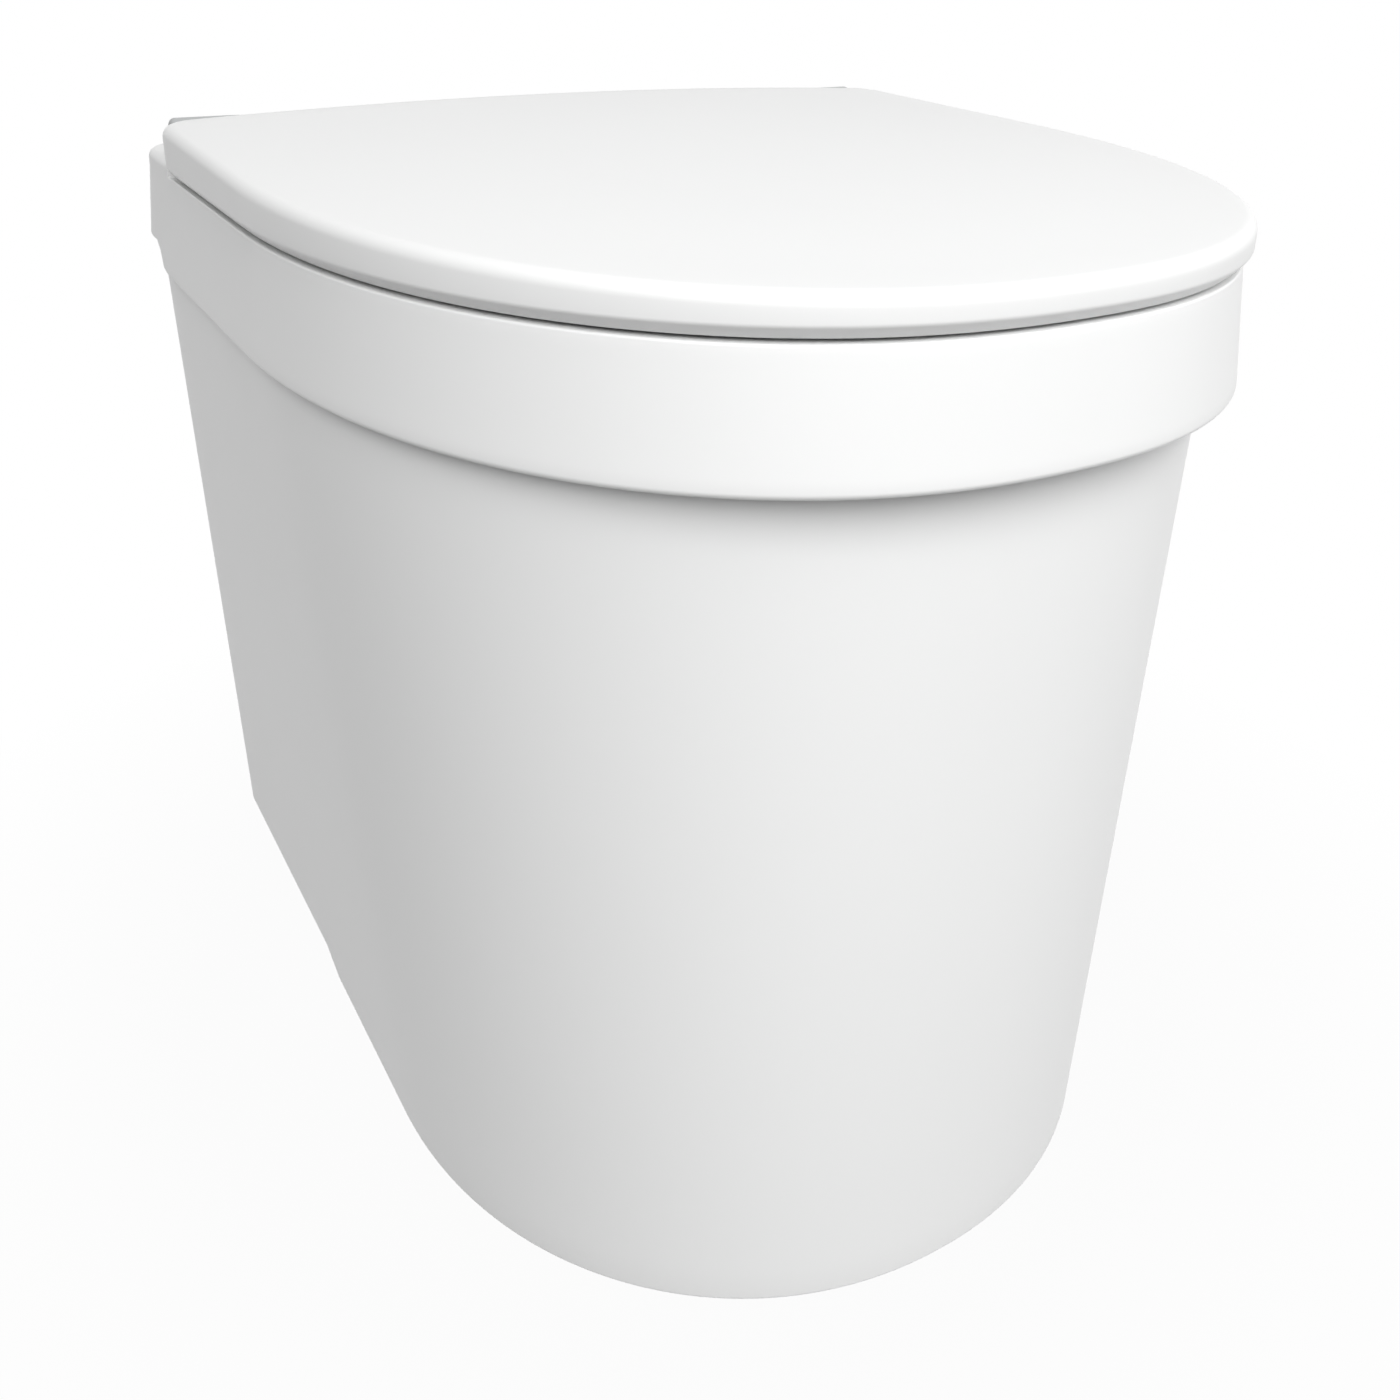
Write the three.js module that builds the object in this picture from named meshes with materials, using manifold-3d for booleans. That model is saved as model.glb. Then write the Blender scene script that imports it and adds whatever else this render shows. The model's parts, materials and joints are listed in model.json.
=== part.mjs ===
// A cassette toilet for a caravan or a small camper: a tapering body, a deep collar, a D-shaped lid and
// seat on one hinge line, a bowl with a turning valve, and a waste cassette that draws out at the back.
// Millimetres, +Z up. The front faces -Y and the flat back faces +Y; y = 0 is the back edge of the lid until
// the whole toilet is centred over its footprint at the end.
import * as THREE from "three";
import { mergeVertices } from "three/addons/utils/BufferGeometryUtils.js";
import Module from "manifold-3d";

const wasm = await Module();
wasm.setup();

// Clearances that every piece shares
const overrun = 5; // a cutter runs this far past what it cuts
const gap = 0.3; // between two fixed pieces that touch
const play = 0.4; // around a pin or a shaft that turns

// The lid, which carries the D outline that everything above the floor follows
const lid = {
  half: 198,
  front: 380,
  straight: 130,
  corner: 14,
  sideBack: 18.5,
  sideFront: 9.5,
  edge: 5,
  crown: 4,
  arch: 5.2,
  backSteps: 5,
  wall: 3,
  chamferIn: 4,
  chamferUp: 4.5,
  lip: 4.25,
};
const dPower = 2.25;

// Heights of the seam under the lid and of the gap that it leaves
const seam = 411;
const seamGap = 1.5;

// The collar: a deep skirt, a recess for the seat, a strip for the valve knob and a raised rear deck
const collar = {
  overhang: 2.8,
  flare: 4.5,
  drop: 47.25,
  wall: 2.6,
  ledge: 12,
  recess: 14.25,
  floor: 4,
  recessBack: 70,
  recessCorner: 22,
  stripWall: 4,
  rear: 76,
  rearCorner: 34,
  rearWall: 3,
  deckFront: 1.5,
  deckRise: 6.75,
  deckWall: 4,
  deckEdge: 4,
  hem: 2.5,
  stepFront: 14,
  stepBack: 28,
  stepUp: 12,
};

// The body: a tapering shell that leans out at the back and tucks in under the collar
const body = {
  sideIn: 26,
  frontIn: 19,
  straight: 178,
  back: 113,
  corner: 14,
  wall: 3.5,
  hem: 2.5,
  clear: 1.5,
  frontGap: 17,
  rearGap: 14,
  neckIn: 2.4,
  neckCorner: 20,
  reliefUp: 9,
  reliefFront: 62,
  reliefStep: 8,
};
const basePower = 2.1;

// The opening for the cassette in the back, and the tray and rails that it runs on
const bay = { sideRoom: 10, sill: 5.6, headRoom: 21 };
const tray = { thick: 5, clear: 0.5, holeRadius: 3.5, holeIn: 16, holeFront: 120, holeBack: 62 };
const rail = { clear: 3.5, thick: 4, height: 34, foot: 14, footThick: 3.2, front: 150, back: 92 };

// The seat ring and its hinge arms
const seat = {
  clear: 2.5,
  lift: 5,
  thick: 16,
  corner: 20,
  sideWidth: 65.7,
  frontWidth: 23.7,
  rearWidth: 22.5,
  round: 2,
  shoulder: 6,
  armThick: 17,
  armClear: 1.5,
  armHeight: 4.8,
  armRise: 12,
  armBack: 4,
  bite: 12,
};
const ovalPower = 2.2;

// The hinge line behind the lid; the x values run outwards from the middle
const hinge = {
  behind: 11.5,
  up: 19,
  pin: 2.5,
  knuckle: 5,
  cover: 8,
  postWidth: 18,
  side: 1.5,
  lidKnuckle: 16.5,
  coverLength: 34,
  coverIn: 8,
  cap: 3,
  postHalf: 7,
};

// The bowl and its outlet
const bowl = {
  behindHole: 2,
  beyondX: 9,
  beyondY: 10,
  wall: 2.5,
  flange: 8,
  flangeThick: 2,
  outletX: 0,
  outletY: 135,
  outletRadius: 38,
  lift: 0.7,
  neck: 14,
  lugUp: 54,
  lugThick: 8,
  lugHalf: 10,
};
// Level, half sizes and middle of the bowl on its way down, as shares of rim to outlet
const bowlShares = [
  { down: 0.12, size: 0.985, shift: 0.02 },
  { down: 0.32, size: 0.9, shift: 0.14 },
  { down: 0.56, size: 0.7, shift: 0.42 },
  { down: 0.78, size: 0.36, shift: 0.78 },
];
const sleeve = { thick: 4.5, length: 12 };

// The valve: knob on the strip, shaft down the back of the bowl, blade in the cassette
const valve = {
  y: 50,
  shaft: 5,
  knob: 20,
  knobBase: 4.2,
  grip: 9,
  gripHalf: 4.5,
  topCover: 3,
  dog: 9,
  dogThick: 3.6,
  boss: 7,
  bossTop: 9,
  bladeOver: 4,
  bladeThick: 4,
  armHalf: 9,
};

// The cassette tank with its valve housing, spout, vent, wheels and handle
const tank = {
  sideRoom: 40,
  frontRoom: 26,
  straight: 215,
  back: 80,
  corner: 16,
  bottom: 10,
  top: 166,
  wall: 3,
};
const housing = { thick: 12, wall: 2.6, lid: 3, side: 8, ahead: 7, behind: 49.6, round: 10 };
const seal = { height: 7, width: 8 };
const spout = {
  sideIn: 34,
  y: 50,
  radius: 18,
  wall: 3,
  bend: 20,
  rise: 3,
  length: 58,
  wellDepth: 48,
  wellEnd: 22,
  wellY: 16,
  ringWidth: 6,
  ringThick: 4.6,
  hole: 14,
};
const cap = { wall: 3.6, depth: 13, face: 3.4, radialGap: 0.4 };
const vent = { sideIn: 37, y: 40, radius: 9, height: 5, below: 4 };
const wheel = { radius: 15, width: 14, y: 190, inset: 3.5, wellClear: 4, axle: 2.5, lift: 0.3 };
const handle = {
  half: 65,
  drop: 48,
  rod: 5,
  bend: 14,
  down: 58,
  eye: 7.5,
  eyeThick: 6,
  lug: 6,
  lugHalf: 7.5,
  pin: 2.5,
  side: 1.2,
  out: 8,
};

// Flush button, level window, control box and plumbing behind the bowl
const flush = { fromPost: 40, rearIn: 38, radius: 16, bezel: 4.5, bezelThick: 1.4, proud: 2.6, height: 14 };
const lens = { fromPost: 40, radius: 8, flange: 3, flangeThick: 1.8, proud: 0.5 };
const box = { outside: 32, inside: 36, ahead: 24, behind: 12, height: 24, drop: 15, stud: 4, studIn: 8 };
const pump = { sideIn: 57, half: 20, depth: 31, rearIn: 21, drop: 123, height: 57, spigot: 5, spigotUp: 11 };
const nipple = { radius: 7, bore: 3.5, up: 17, out: 20, flange: 12, flangeThick: 6, flangeOff: 5 };
const gland = { radius: 9, bore: 3, out: 14, inside: 9, flange: 13, flangeThick: 5 };
const hose = { radius: 4.6 };
const nozzle = { x: 45, down: 14, radius: 6, inside: 12, outside: 17 };
const screw = { rearIn: 27.2, rearY: 90, frontIn: 37.2, frontY: 205, hole: 2.6, shank: 2.2, head: 4.6 };
const screwHeight = { head: 2.6, length: 16, boss: 6.5, bossDrop: 20, rib: 30, ribHalf: 3 };
const bufferRadius = 7;
// Places of the buffers: across, from the flange of the bowl to the edge of the recess, and along, as a share
// of the half length of the flange ahead of its middle
const bufferShares = {
  rear: { across: 0.6, along: -0.6 },
  front: { across: 0.48, along: 0.49 },
  lid: { across: 0.1, along: 0.35 },
};

// How finely the curves are cut
const quarterSteps = 15;
const cornerSteps = 4;
const roundSides = 28;
const smallSides = 14;
const ovalSides = 44;

// Levels and places that follow from the sizes above
const collarTop = seam - seamGap / 2;
const lidBottom = seam + seamGap / 2;
const skirtBottom = collarTop - collar.drop;
const recessFloor = collarTop - collar.recess;
const floorUnder = recessFloor - collar.floor;
const deck = collarTop + collar.deckRise;
const axisZ = seam + hinge.up;
const axisY = hinge.behind;
const topHalf = lid.half - collar.overhang;
const topFront = lid.front - collar.overhang;
const skirtHalf = topHalf + collar.flare;
const skirtFront = topFront + collar.flare;
const seatBottom = recessFloor + seat.lift;
const seatTop = seatBottom + seat.thick;
const seatBack = collar.recessBack + seat.clear;
const seatHalf = topHalf - collar.ledge - seat.clear;
const seatFront = topFront - collar.ledge - seat.clear;
const holeHalf = seatHalf - seat.sideWidth;
const holeFront = seatFront - seat.frontWidth;
const holeBack = seatBack + seat.rearWidth;
const holeLong = (holeFront - holeBack) / 2;
const holeCentre = (holeFront + holeBack) / 2;
const bowlHalfX = holeHalf + bowl.beyondX;
const bowlHalfY = holeLong + bowl.beyondY;
const bowlCentre = holeCentre - bowl.behindHole;
const bodyHalf = lid.half - body.sideIn;
const bodyFront = lid.front - body.frontIn;
const tankHalf = bodyHalf - tank.sideRoom;
const tankFront = bodyFront - tank.frontRoom;
const bayHalf = tankHalf + bay.sideRoom;
const bayTop = tank.top + bay.headRoom;
const bladeFloor = tank.top + gap;
const housingTop = bladeFloor + housing.thick;
const bowlBottom = housingTop + seal.height + bowl.lift;
const bladeRadius = bowl.outletRadius + valve.bladeOver;
const coverTo = lid.half - hinge.coverIn;
const coverFrom = coverTo - hinge.coverLength;
const postTo = coverFrom - seat.armThick - hinge.lidKnuckle - 3 * hinge.side;
const postFrom = postTo - hinge.postWidth;
const flushX = postFrom - flush.fromPost;
const lensX = postFrom - lens.fromPost;
const flushY = collar.rear - flush.rearIn;
const pumpX = bodyHalf - pump.sideIn;
const pumpBack = collar.rear - pump.rearIn;
const pumpFront = pumpBack - pump.depth;
const pumpBottom = seam - pump.drop;
const screwRearX = topHalf - screw.rearIn;
const screwFrontX = topHalf - screw.frontIn;
const ventX = tankHalf - vent.sideIn;
const spoutX = tankHalf - spout.sideIn;
const spoutEnd = spoutX - spout.length;
const spoutWellX = spoutEnd - spout.wellEnd;
const spoutWell = tank.top - spout.wellDepth;
const handleZ = tank.top - handle.down;
const wellTop = tray.thick + wheel.lift + 2 * wheel.radius + wheel.wellClear;

// Turns a geometry into a closed solid that can be cut and joined
function solid(geometry) {
  const bare = geometry.index ? geometry.clone() : geometry;
  bare.deleteAttribute("normal");
  bare.deleteAttribute("uv");
  const merged = mergeVertices(bare, 1e-4);
  const vertProperties = new Float32Array(merged.attributes.position.array);
  const triVerts = new Uint32Array(merged.index.array);
  return new wasm.Manifold(new wasm.Mesh({ numProp: 3, vertProperties, triVerts }));
}

function geometryOf(shape) {
  const mesh = shape.getMesh();
  const positions = new Float32Array(mesh.numVert * 3);
  for (let i = 0; i < mesh.numVert; i++) {
    for (let k = 0; k < 3; k++) positions[3 * i + k] = mesh.vertProperties[mesh.numProp * i + k];
  }
  const geometry = new THREE.BufferGeometry();
  geometry.setAttribute("position", new THREE.BufferAttribute(positions, 3));
  geometry.setIndex(new THREE.BufferAttribute(new Uint32Array(mesh.triVerts), 1));
  geometry.computeVertexNormals();
  return geometry;
}

function join(...shapes) {
  return shapes.reduce((sum, shape) => sum.add(shape));
}

function cut(shape, ...cutters) {
  return cutters.reduce((rest, cutter) => rest.subtract(cutter), shape);
}

// A skin through rings of points, each turning anticlockwise seen from the end of the axis that they climb
function skin(rings, axis = "z", closed = false) {
  const count = rings[0].length;
  const points = rings.flat();
  const faces = [];
  const last = closed ? rings.length : rings.length - 1;
  for (let i = 0; i < last; i++) {
    const low = i * count;
    const high = ((i + 1) % rings.length) * count;
    for (let j = 0; j < count; j++) {
      const k = (j + 1) % count;
      faces.push(low + j, low + k, high + k, low + j, high + k, high + j);
    }
  }
  if (!closed) {
    const [u, v] = { x: [1, 2], y: [2, 0], z: [0, 1] }[axis];
    const flat = (ring) => ring.map((p) => new THREE.Vector2(p[u], p[v]));
    const top = (rings.length - 1) * count;
    for (const [a, b, c] of THREE.ShapeUtils.triangulateShape(flat(rings[0]), [])) faces.push(a, c, b);
    for (const [a, b, c] of THREE.ShapeUtils.triangulateShape(flat(rings.at(-1)), [])) {
      faces.push(top + a, top + b, top + c);
    }
  }
  const geometry = new THREE.BufferGeometry();
  geometry.setAttribute("position", new THREE.BufferAttribute(new Float32Array(points.flat()), 3));
  geometry.setIndex(faces);
  return solid(geometry);
}

// The D outline from above: a superellipse front, straight sides, rounded corners and a flat back at y = back,
// with backSteps pieces to each half of the back where the back is to arch upwards
function outline({ half, front, straight, back, corner, power, backSteps }) {
  const right = [];
  for (let i = 0; i <= quarterSteps; i++) {
    const turn = (Math.PI / 2) * (1 - i / quarterSteps);
    const x = half * Math.max(0, Math.cos(turn)) ** (2 / power);
    const y = -straight - (front - straight) * Math.sin(turn) ** (2 / power);
    right.push([i === 0 ? 0 : x, y]);
  }
  for (let i = 0; i <= cornerSteps; i++) {
    const turn = ((Math.PI / 2) * i) / cornerSteps;
    right.push([half - corner * (1 - Math.cos(turn)), back - corner * (1 - Math.sin(turn))]);
  }
  for (let i = 1; i < backSteps; i++) right.push([(half - corner) * (1 - i / backSteps), back]);
  const left = right.slice(1).reverse();
  return [...right, ...(backSteps ? [[0, back]] : []), ...left.map(([x, y]) => [-x, y])];
}

// The same outline moved in by one distance all round
function inset(d, by) {
  const corner = Math.max(d.corner - by, d.corner / 8);
  return { ...d, half: d.half - by, front: d.front - by, back: d.back - by, corner };
}

function ring(d, z) {
  return outline(d).map(([x, y]) => [x, y, typeof z === "function" ? z(x, y) : z]);
}

function mix(a, b, share) {
  return a.map((p, i) => p.map((value, k) => value + (b[i][k] - value) * share));
}

// An oval ring whose power rounds or squares it
function oval(x0, y0, a, b, z, power = ovalPower, sides = ovalSides) {
  const points = [];
  for (let i = 0; i < sides; i++) {
    const turn = (2 * Math.PI * i) / sides;
    const c = Math.cos(turn);
    const s = Math.sin(turn);
    const reach = (Math.abs(c / a) ** power + Math.abs(s / b) ** power) ** (-1 / power);
    points.push([x0 + reach * c, y0 + reach * s, z]);
  }
  return points;
}

function block(x0, x1, y0, y1, z0, z1) {
  const geometry = new THREE.BoxGeometry(x1 - x0, y1 - y0, z1 - z0);
  geometry.translate((x0 + x1) / 2, (y0 + y1) / 2, (z0 + z1) / 2);
  return solid(geometry);
}

// A rod along one axis; a and b are its place on the other two, in the order x, y, z
function rod(axis, radius, from, to, a, b, sides = roundSides) {
  const geometry = new THREE.CylinderGeometry(radius, radius, to - from, sides);
  const middle = (from + to) / 2;
  if (axis === "x") geometry.rotateZ(Math.PI / 2).translate(middle, a, b);
  if (axis === "y") geometry.translate(a, middle, b);
  if (axis === "z") geometry.rotateX(Math.PI / 2).translate(a, b, middle);
  return solid(geometry);
}

// A prism along x from a list of y, z points that turns anticlockwise seen from +x
function prismX(points, from, to) {
  return skin([points.map(([y, z]) => [from, y, z]), points.map(([y, z]) => [to, y, z])], "x");
}

// A plate with rounded corners
function plate(x0, x1, y0, y1, z0, z1, radius) {
  const corners = [
    [x1 - radius, y0 + radius, -1],
    [x1 - radius, y1 - radius, 0],
    [x0 + radius, y1 - radius, 1],
    [x0 + radius, y0 + radius, 2],
  ];
  const points = corners.flatMap(([x, y, start]) =>
    Array.from({ length: cornerSteps + 1 }, (_, i) => {
      const turn = (Math.PI / 2) * (start + i / cornerSteps);
      return [x + radius * Math.cos(turn), y + radius * Math.sin(turn)];
    }),
  );
  return skin([points.map((p) => [...p, z0]), points.map((p) => [...p, z1])]);
}

// A round bar along a curve
function bar(curve, radius, steps, sides = smallSides) {
  const shape = new THREE.Shape();
  shape.absarc(0, 0, radius, 0, 2 * Math.PI, false);
  const options = { steps, curveSegments: sides / 2, extrudePath: curve, bevelEnabled: false };
  return solid(new THREE.ExtrudeGeometry(shape, options));
}

function mirrored(side, from, to) {
  return side > 0 ? [from, to] : [-to, -from];
}

const toilet = new THREE.Group();
const finishes = {
  shell: { color: 0xf3f4f2, roughness: 0.32, metalness: 0 },
  inner: { color: 0xe9ebe8, roughness: 0.45, metalness: 0 },
  grey: { color: 0x9da0a1, roughness: 0.5, metalness: 0 },
  dark: { color: 0x3a3d40, roughness: 0.55, metalness: 0 },
  rubber: { color: 0x2b2c2d, roughness: 0.85, metalness: 0 },
  steel: { color: 0xb9bcc0, roughness: 0.3, metalness: 1 },
  clear: { color: 0x9fc4b0, roughness: 0.08, metalness: 0 },
  hose: { color: 0xd7dcde, roughness: 0.4, metalness: 0 },
};

function part(name, shape, finish) {
  const mesh = new THREE.Mesh(geometryOf(shape), new THREE.MeshStandardMaterial(finishes[finish]));
  mesh.name = name;
  toilet.add(mesh);
  return shape;
}

// Outlines that several pieces share
const lidPlan = { ...lid, back: 0, power: dPower };
const collarPlan = {
  half: topHalf,
  front: topFront,
  straight: lid.straight,
  back: collar.rear,
  corner: collar.rearCorner,
  power: dPower,
};
const skirtPlan = { ...collarPlan, half: skirtHalf, front: skirtFront };
const basePlan = {
  half: bodyHalf,
  front: bodyFront,
  straight: body.straight,
  back: body.back,
  corner: body.corner,
  power: basePower,
};
const shoulderPlan = {
  ...collarPlan,
  half: skirtHalf - collar.wall - body.clear,
  front: skirtFront - body.frontGap,
  back: collar.rear - body.rearGap,
};
const neckPlan = { ...inset(shoulderPlan, body.neckIn), corner: collar.rearCorner };
const tankPlan = {
  half: tankHalf,
  front: tankFront,
  straight: tank.straight,
  back: tank.back,
  corner: tank.corner,
  power: ovalPower,
};

// The body's outside from the floor to its neck, moved in by one distance
function bodyVolume(by, from, to) {
  const base = ring(inset(basePlan, by), 0);
  const shoulder = ring(inset(shoulderPlan, by), skirtBottom);
  const neck = ring(inset(neckPlan, by), floorUnder - gap);
  const level = (a, b, z) => mix(a, b, (z - a[0][2]) / (b[0][2] - a[0][2]));
  return skin([level(base, shoulder, from), shoulder, level(shoulder, neck, to)]);
}

function bodyShell() {
  const full = ring(basePlan, 0);
  const shoulder = ring(shoulderPlan, skirtBottom);
  const hemRings = [0, 0.3, 1].map((share) => {
    const z = body.hem * share;
    const pulled = ring(inset(basePlan, body.hem * (1 - share) ** 2), 0);
    return mix(pulled, shoulder, z / skirtBottom);
  });
  const neck = ring(neckPlan, floorUnder - gap);
  const outside = skin([...hemRings, mix(full, shoulder, 0.5), shoulder, neck]);
  const inside = bodyVolume(body.wall, -overrun, floorUnder + overrun);
  const reach = bodyHalf + overrun;
  const mouth = block(-bayHalf, bayHalf, 0, body.back + overrun, bay.sill, bayTop);
  const reliefStart = -body.reliefFront - body.reliefStep;
  const relief = prismX(
    [
      [reliefStart, -overrun],
      [body.back + overrun, -overrun],
      [body.back + overrun, body.reliefUp],
      [-body.reliefFront, body.reliefUp],
      [-body.reliefFront, body.reliefUp / 2],
      [reliefStart, body.reliefUp / 2],
    ],
    -reach,
    reach,
  );
  const pads = [-1, 1].map((side) => {
    const [x0, x1] = mirrored(side, pumpX - pump.half, pumpX + pump.half);
    return block(x0, x1, pumpBack + gap, body.back, pumpBottom, pumpBottom + pump.height);
  });
  const pad = join(...pads).intersect(outside);
  const bosses = screwPlaces().map(([x, y]) => screwBoss(x, y).intersect(outside));
  const nippleHole = rod("y", nipple.radius + gap, pumpBack - overrun, body.back, -pumpX, nippleZ());
  const glandHole = rod("y", gland.radius + gap, pumpBack - overrun, body.back, pumpX, nippleZ());
  const shell = cut(outside, inside, mouth, relief);
  const holeFrom = bossBottom() - overrun;
  const holes = screwPlaces().map(([x, y]) => rod("z", screw.hole, holeFrom, seam, x, y, smallSides));
  return cut(join(shell, pad, ...bosses), nippleHole, glandHole, ...holes);
}

function nippleZ() {
  return pumpBottom + nipple.up;
}

function screwPlaces() {
  return [
    [screwRearX, -screw.rearY],
    [-screwRearX, -screw.rearY],
    [screwFrontX, -screw.frontY],
    [-screwFrontX, -screw.frontY],
  ];
}

function bossBottom() {
  return floorUnder - gap - screwHeight.bossDrop;
}

// A boss for a collar screw, with a rib that ties it to the wall of the body
function screwBoss(x, y) {
  const top = floorUnder - gap;
  const [x0, x1] = mirrored(Math.sign(x), Math.abs(x), Math.abs(x) + screwHeight.rib);
  const rib = block(x0, x1, y - screwHeight.ribHalf, y + screwHeight.ribHalf, bossBottom(), top);
  return join(rod("z", screwHeight.boss, bossBottom(), top, x, y, smallSides), rib);
}

function baseTray() {
  const edge = inset(basePlan, body.wall + tray.clear);
  const foot = ring(edge, 0);
  const shoulder = ring(inset(shoulderPlan, body.wall + tray.clear), skirtBottom);
  const slab = skin([foot, mix(foot, shoulder, tray.thick / skirtBottom)]);
  const trayHoleX = bodyHalf - tray.holeIn;
  const holeTop = tray.thick + overrun;
  const holes = [-tray.holeFront, tray.holeBack].flatMap((y) =>
    [-trayHoleX, trayHoleX].map((x) => rod("z", tray.holeRadius, -overrun, holeTop, x, y, smallSides)),
  );
  return cut(slab, ...holes);
}

function railShape(side) {
  const inner = tankHalf + rail.clear;
  const base = tray.thick + gap;
  const [x0, x1] = mirrored(side, inner, inner + rail.thick);
  const [f0, f1] = mirrored(side, inner, inner + rail.foot);
  return join(
    block(x0, x1, -rail.front, rail.back, base, base + rail.height),
    block(f0, f1, -rail.front, rail.back, base, base + rail.footThick),
  );
}

function collarShape() {
  const rings = [
    ring(inset(skirtPlan, collar.hem), skirtBottom),
    ring(inset(skirtPlan, collar.hem / 3), skirtBottom + collar.hem / 3),
    ring(skirtPlan, skirtBottom + collar.hem),
    ring(collarPlan, collarTop),
    ring(collarPlan, deck - collar.deckEdge),
    ring(inset(collarPlan, collar.deckEdge / 3), deck - collar.deckEdge / 3),
    ring(inset(collarPlan, collar.deckEdge), deck),
  ];
  const reach = skirtHalf + overrun;
  const frontReach = -skirtFront - overrun;
  const outside = cut(
    skin(rings),
    block(-reach, reach, frontReach, collar.deckFront, collarTop, deck + overrun),
  );
  const step = prismX(
    [
      [collar.stepFront, skirtBottom - overrun],
      [collar.rear + overrun, skirtBottom - overrun],
      [collar.rear + overrun, skirtBottom + collar.stepUp],
      [collar.stepBack, skirtBottom + collar.stepUp],
      [collar.stepFront, skirtBottom],
    ],
    -reach,
    reach,
  );
  const hollow = skin([
    ring(inset(skirtPlan, collar.wall), skirtBottom - overrun),
    ring(inset(skirtPlan, collar.wall), skirtBottom),
    mix(
      ring(inset(skirtPlan, collar.wall), floorUnder),
      ring(inset(collarPlan, collar.wall), floorUnder),
      (floorUnder - skirtBottom) / collar.drop,
    ),
  ]);
  const core = inset(collarPlan, collar.ledge);
  const high = skin([ring(core, floorUnder - overrun), ring(core, deck)]);
  const stripTop = collarTop - collar.stripWall;
  const underStrip = block(
    -reach,
    reach,
    -collar.recessBack + collar.stripWall,
    collar.deckFront + collar.stripWall,
    floorUnder - overrun,
    stripTop,
  );
  const underDeck = block(
    -reach,
    reach,
    collar.deckFront + collar.stripWall - gap,
    collar.rear,
    floorUnder - overrun,
    deck - collar.deckWall,
  );
  const recess = { ...core, back: -collar.recessBack, corner: collar.recessCorner };
  const recessCut = skin([ring(recess, recessFloor), ring(recess, collarTop + overrun)]);
  const bowlHole = skin([
    oval(0, -bowlCentre, bowlHalfX + bowl.wall + play, bowlHalfY + bowl.wall + play, floorUnder - overrun),
    oval(0, -bowlCentre, bowlHalfX + bowl.wall + play, bowlHalfY + bowl.wall + play, recessFloor + overrun),
  ]);
  const holeRadius = valve.shaft + play;
  const shaftHole = rod("z", holeRadius, stripTop - overrun, collarTop + overrun, 0, -valve.y, smallSides);
  const deckHoles = [
    rod("z", flush.radius + play, stripTop, deck + overrun, -flushX, flushY),
    rod("z", lens.radius + gap, stripTop, deck + overrun, lensX, flushY),
  ];
  const screwHoles = screwPlaces().map(([x, y]) =>
    rod("z", screw.hole, floorUnder - overrun, recessFloor + overrun, x, y, smallSides),
  );
  const shell = cut(outside, step, hollow, underStrip.intersect(high), underDeck.intersect(high), recessCut);
  const studs = boxStuds();
  return cut(join(shell, ...studs), bowlHole, shaftHole, ...deckHoles, ...screwHoles);
}

// Two studs under the deck that hold the control box
function boxStuds() {
  const y = flushY + box.stud;
  const studBottom = deck - box.drop - collar.deckWall + gap;
  return [flushX + box.outside - box.studIn + box.stud / 2, flushX - box.inside + box.studIn].map((x) =>
    rod("z", box.stud, studBottom, deck - collar.deckWall / 2, -x, y, smallSides),
  );
}

// The bowl at a share of its way down, shrunk by its wall where asked
function bowlRing(down, size, shift, by) {
  const rim = recessFloor + gap + bowl.flangeThick;
  const z = rim + (bowlBottom + bowl.neck - rim) * down;
  const a = bowl.outletRadius + (bowlHalfX - bowl.outletRadius) * size + by;
  const b = bowl.outletRadius + (bowlHalfY - bowl.outletRadius) * size + by;
  const y = -bowlCentre + (bowlCentre - bowl.outletY) * shift;
  return oval(bowl.outletX * shift, y, a, b, z, 2 + (ovalPower - 2) * size);
}

function bowlVolume(by, bottom, over) {
  const outlet = { down: 1, size: 0, shift: 1 };
  const rings = [outlet, ...[...bowlShares].reverse(), { down: 0, size: 1, shift: 0 }];
  const walls = rings.map(({ down, size, shift }) => bowlRing(down, size, shift, by));
  const foot = walls[0].map(([x, y]) => [x, y, bottom]);
  const rim = walls.at(-1).map(([x, y, z]) => [x, y, z + over]);
  return skin(over > 0 ? [foot, ...walls, rim] : [foot, ...walls]);
}

function bowlShape() {
  const base = recessFloor + gap;
  const reach = bowl.wall + bowl.flange;
  const flange = skin(
    [base, base + bowl.flangeThick].map((z) =>
      oval(0, -bowlCentre, bowlHalfX + reach, bowlHalfY + reach, z),
    ),
  );
  const lugZ = bowlBottom + bowl.lugUp;
  const lug = join(
    block(-bowl.lugHalf, bowl.lugHalf, -bowl.outletY, -valve.y, lugZ, lugZ + bowl.lugThick),
    rod("z", bowl.lugHalf, lugZ, lugZ + bowl.lugThick, 0, -valve.y, smallSides),
  );
  const outer = join(bowlVolume(bowl.wall, bowlBottom, 0), flange, lug);
  const holeTop = lugZ + bowl.lugThick + overrun;
  const shaftHole = rod("z", valve.shaft + play, lugZ - overrun, holeTop, 0, -valve.y, smallSides);
  return cut(outer, bowlVolume(0, bowlBottom - overrun, overrun), shaftHole, nozzleRod(gap));
}

function nozzleY() {
  const share = (1 - (nozzle.x / bowlHalfX) ** ovalPower) ** (1 / ovalPower);
  return -bowlCentre + bowlHalfY * share;
}

function nozzleZ() {
  return recessFloor - nozzle.down;
}

function nozzleRod(grow) {
  const y = nozzleY();
  const radius = nozzle.radius + grow;
  return rod("y", radius, y - nozzle.inside, y + nozzle.outside, -nozzle.x, nozzleZ(), smallSides);
}

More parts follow.
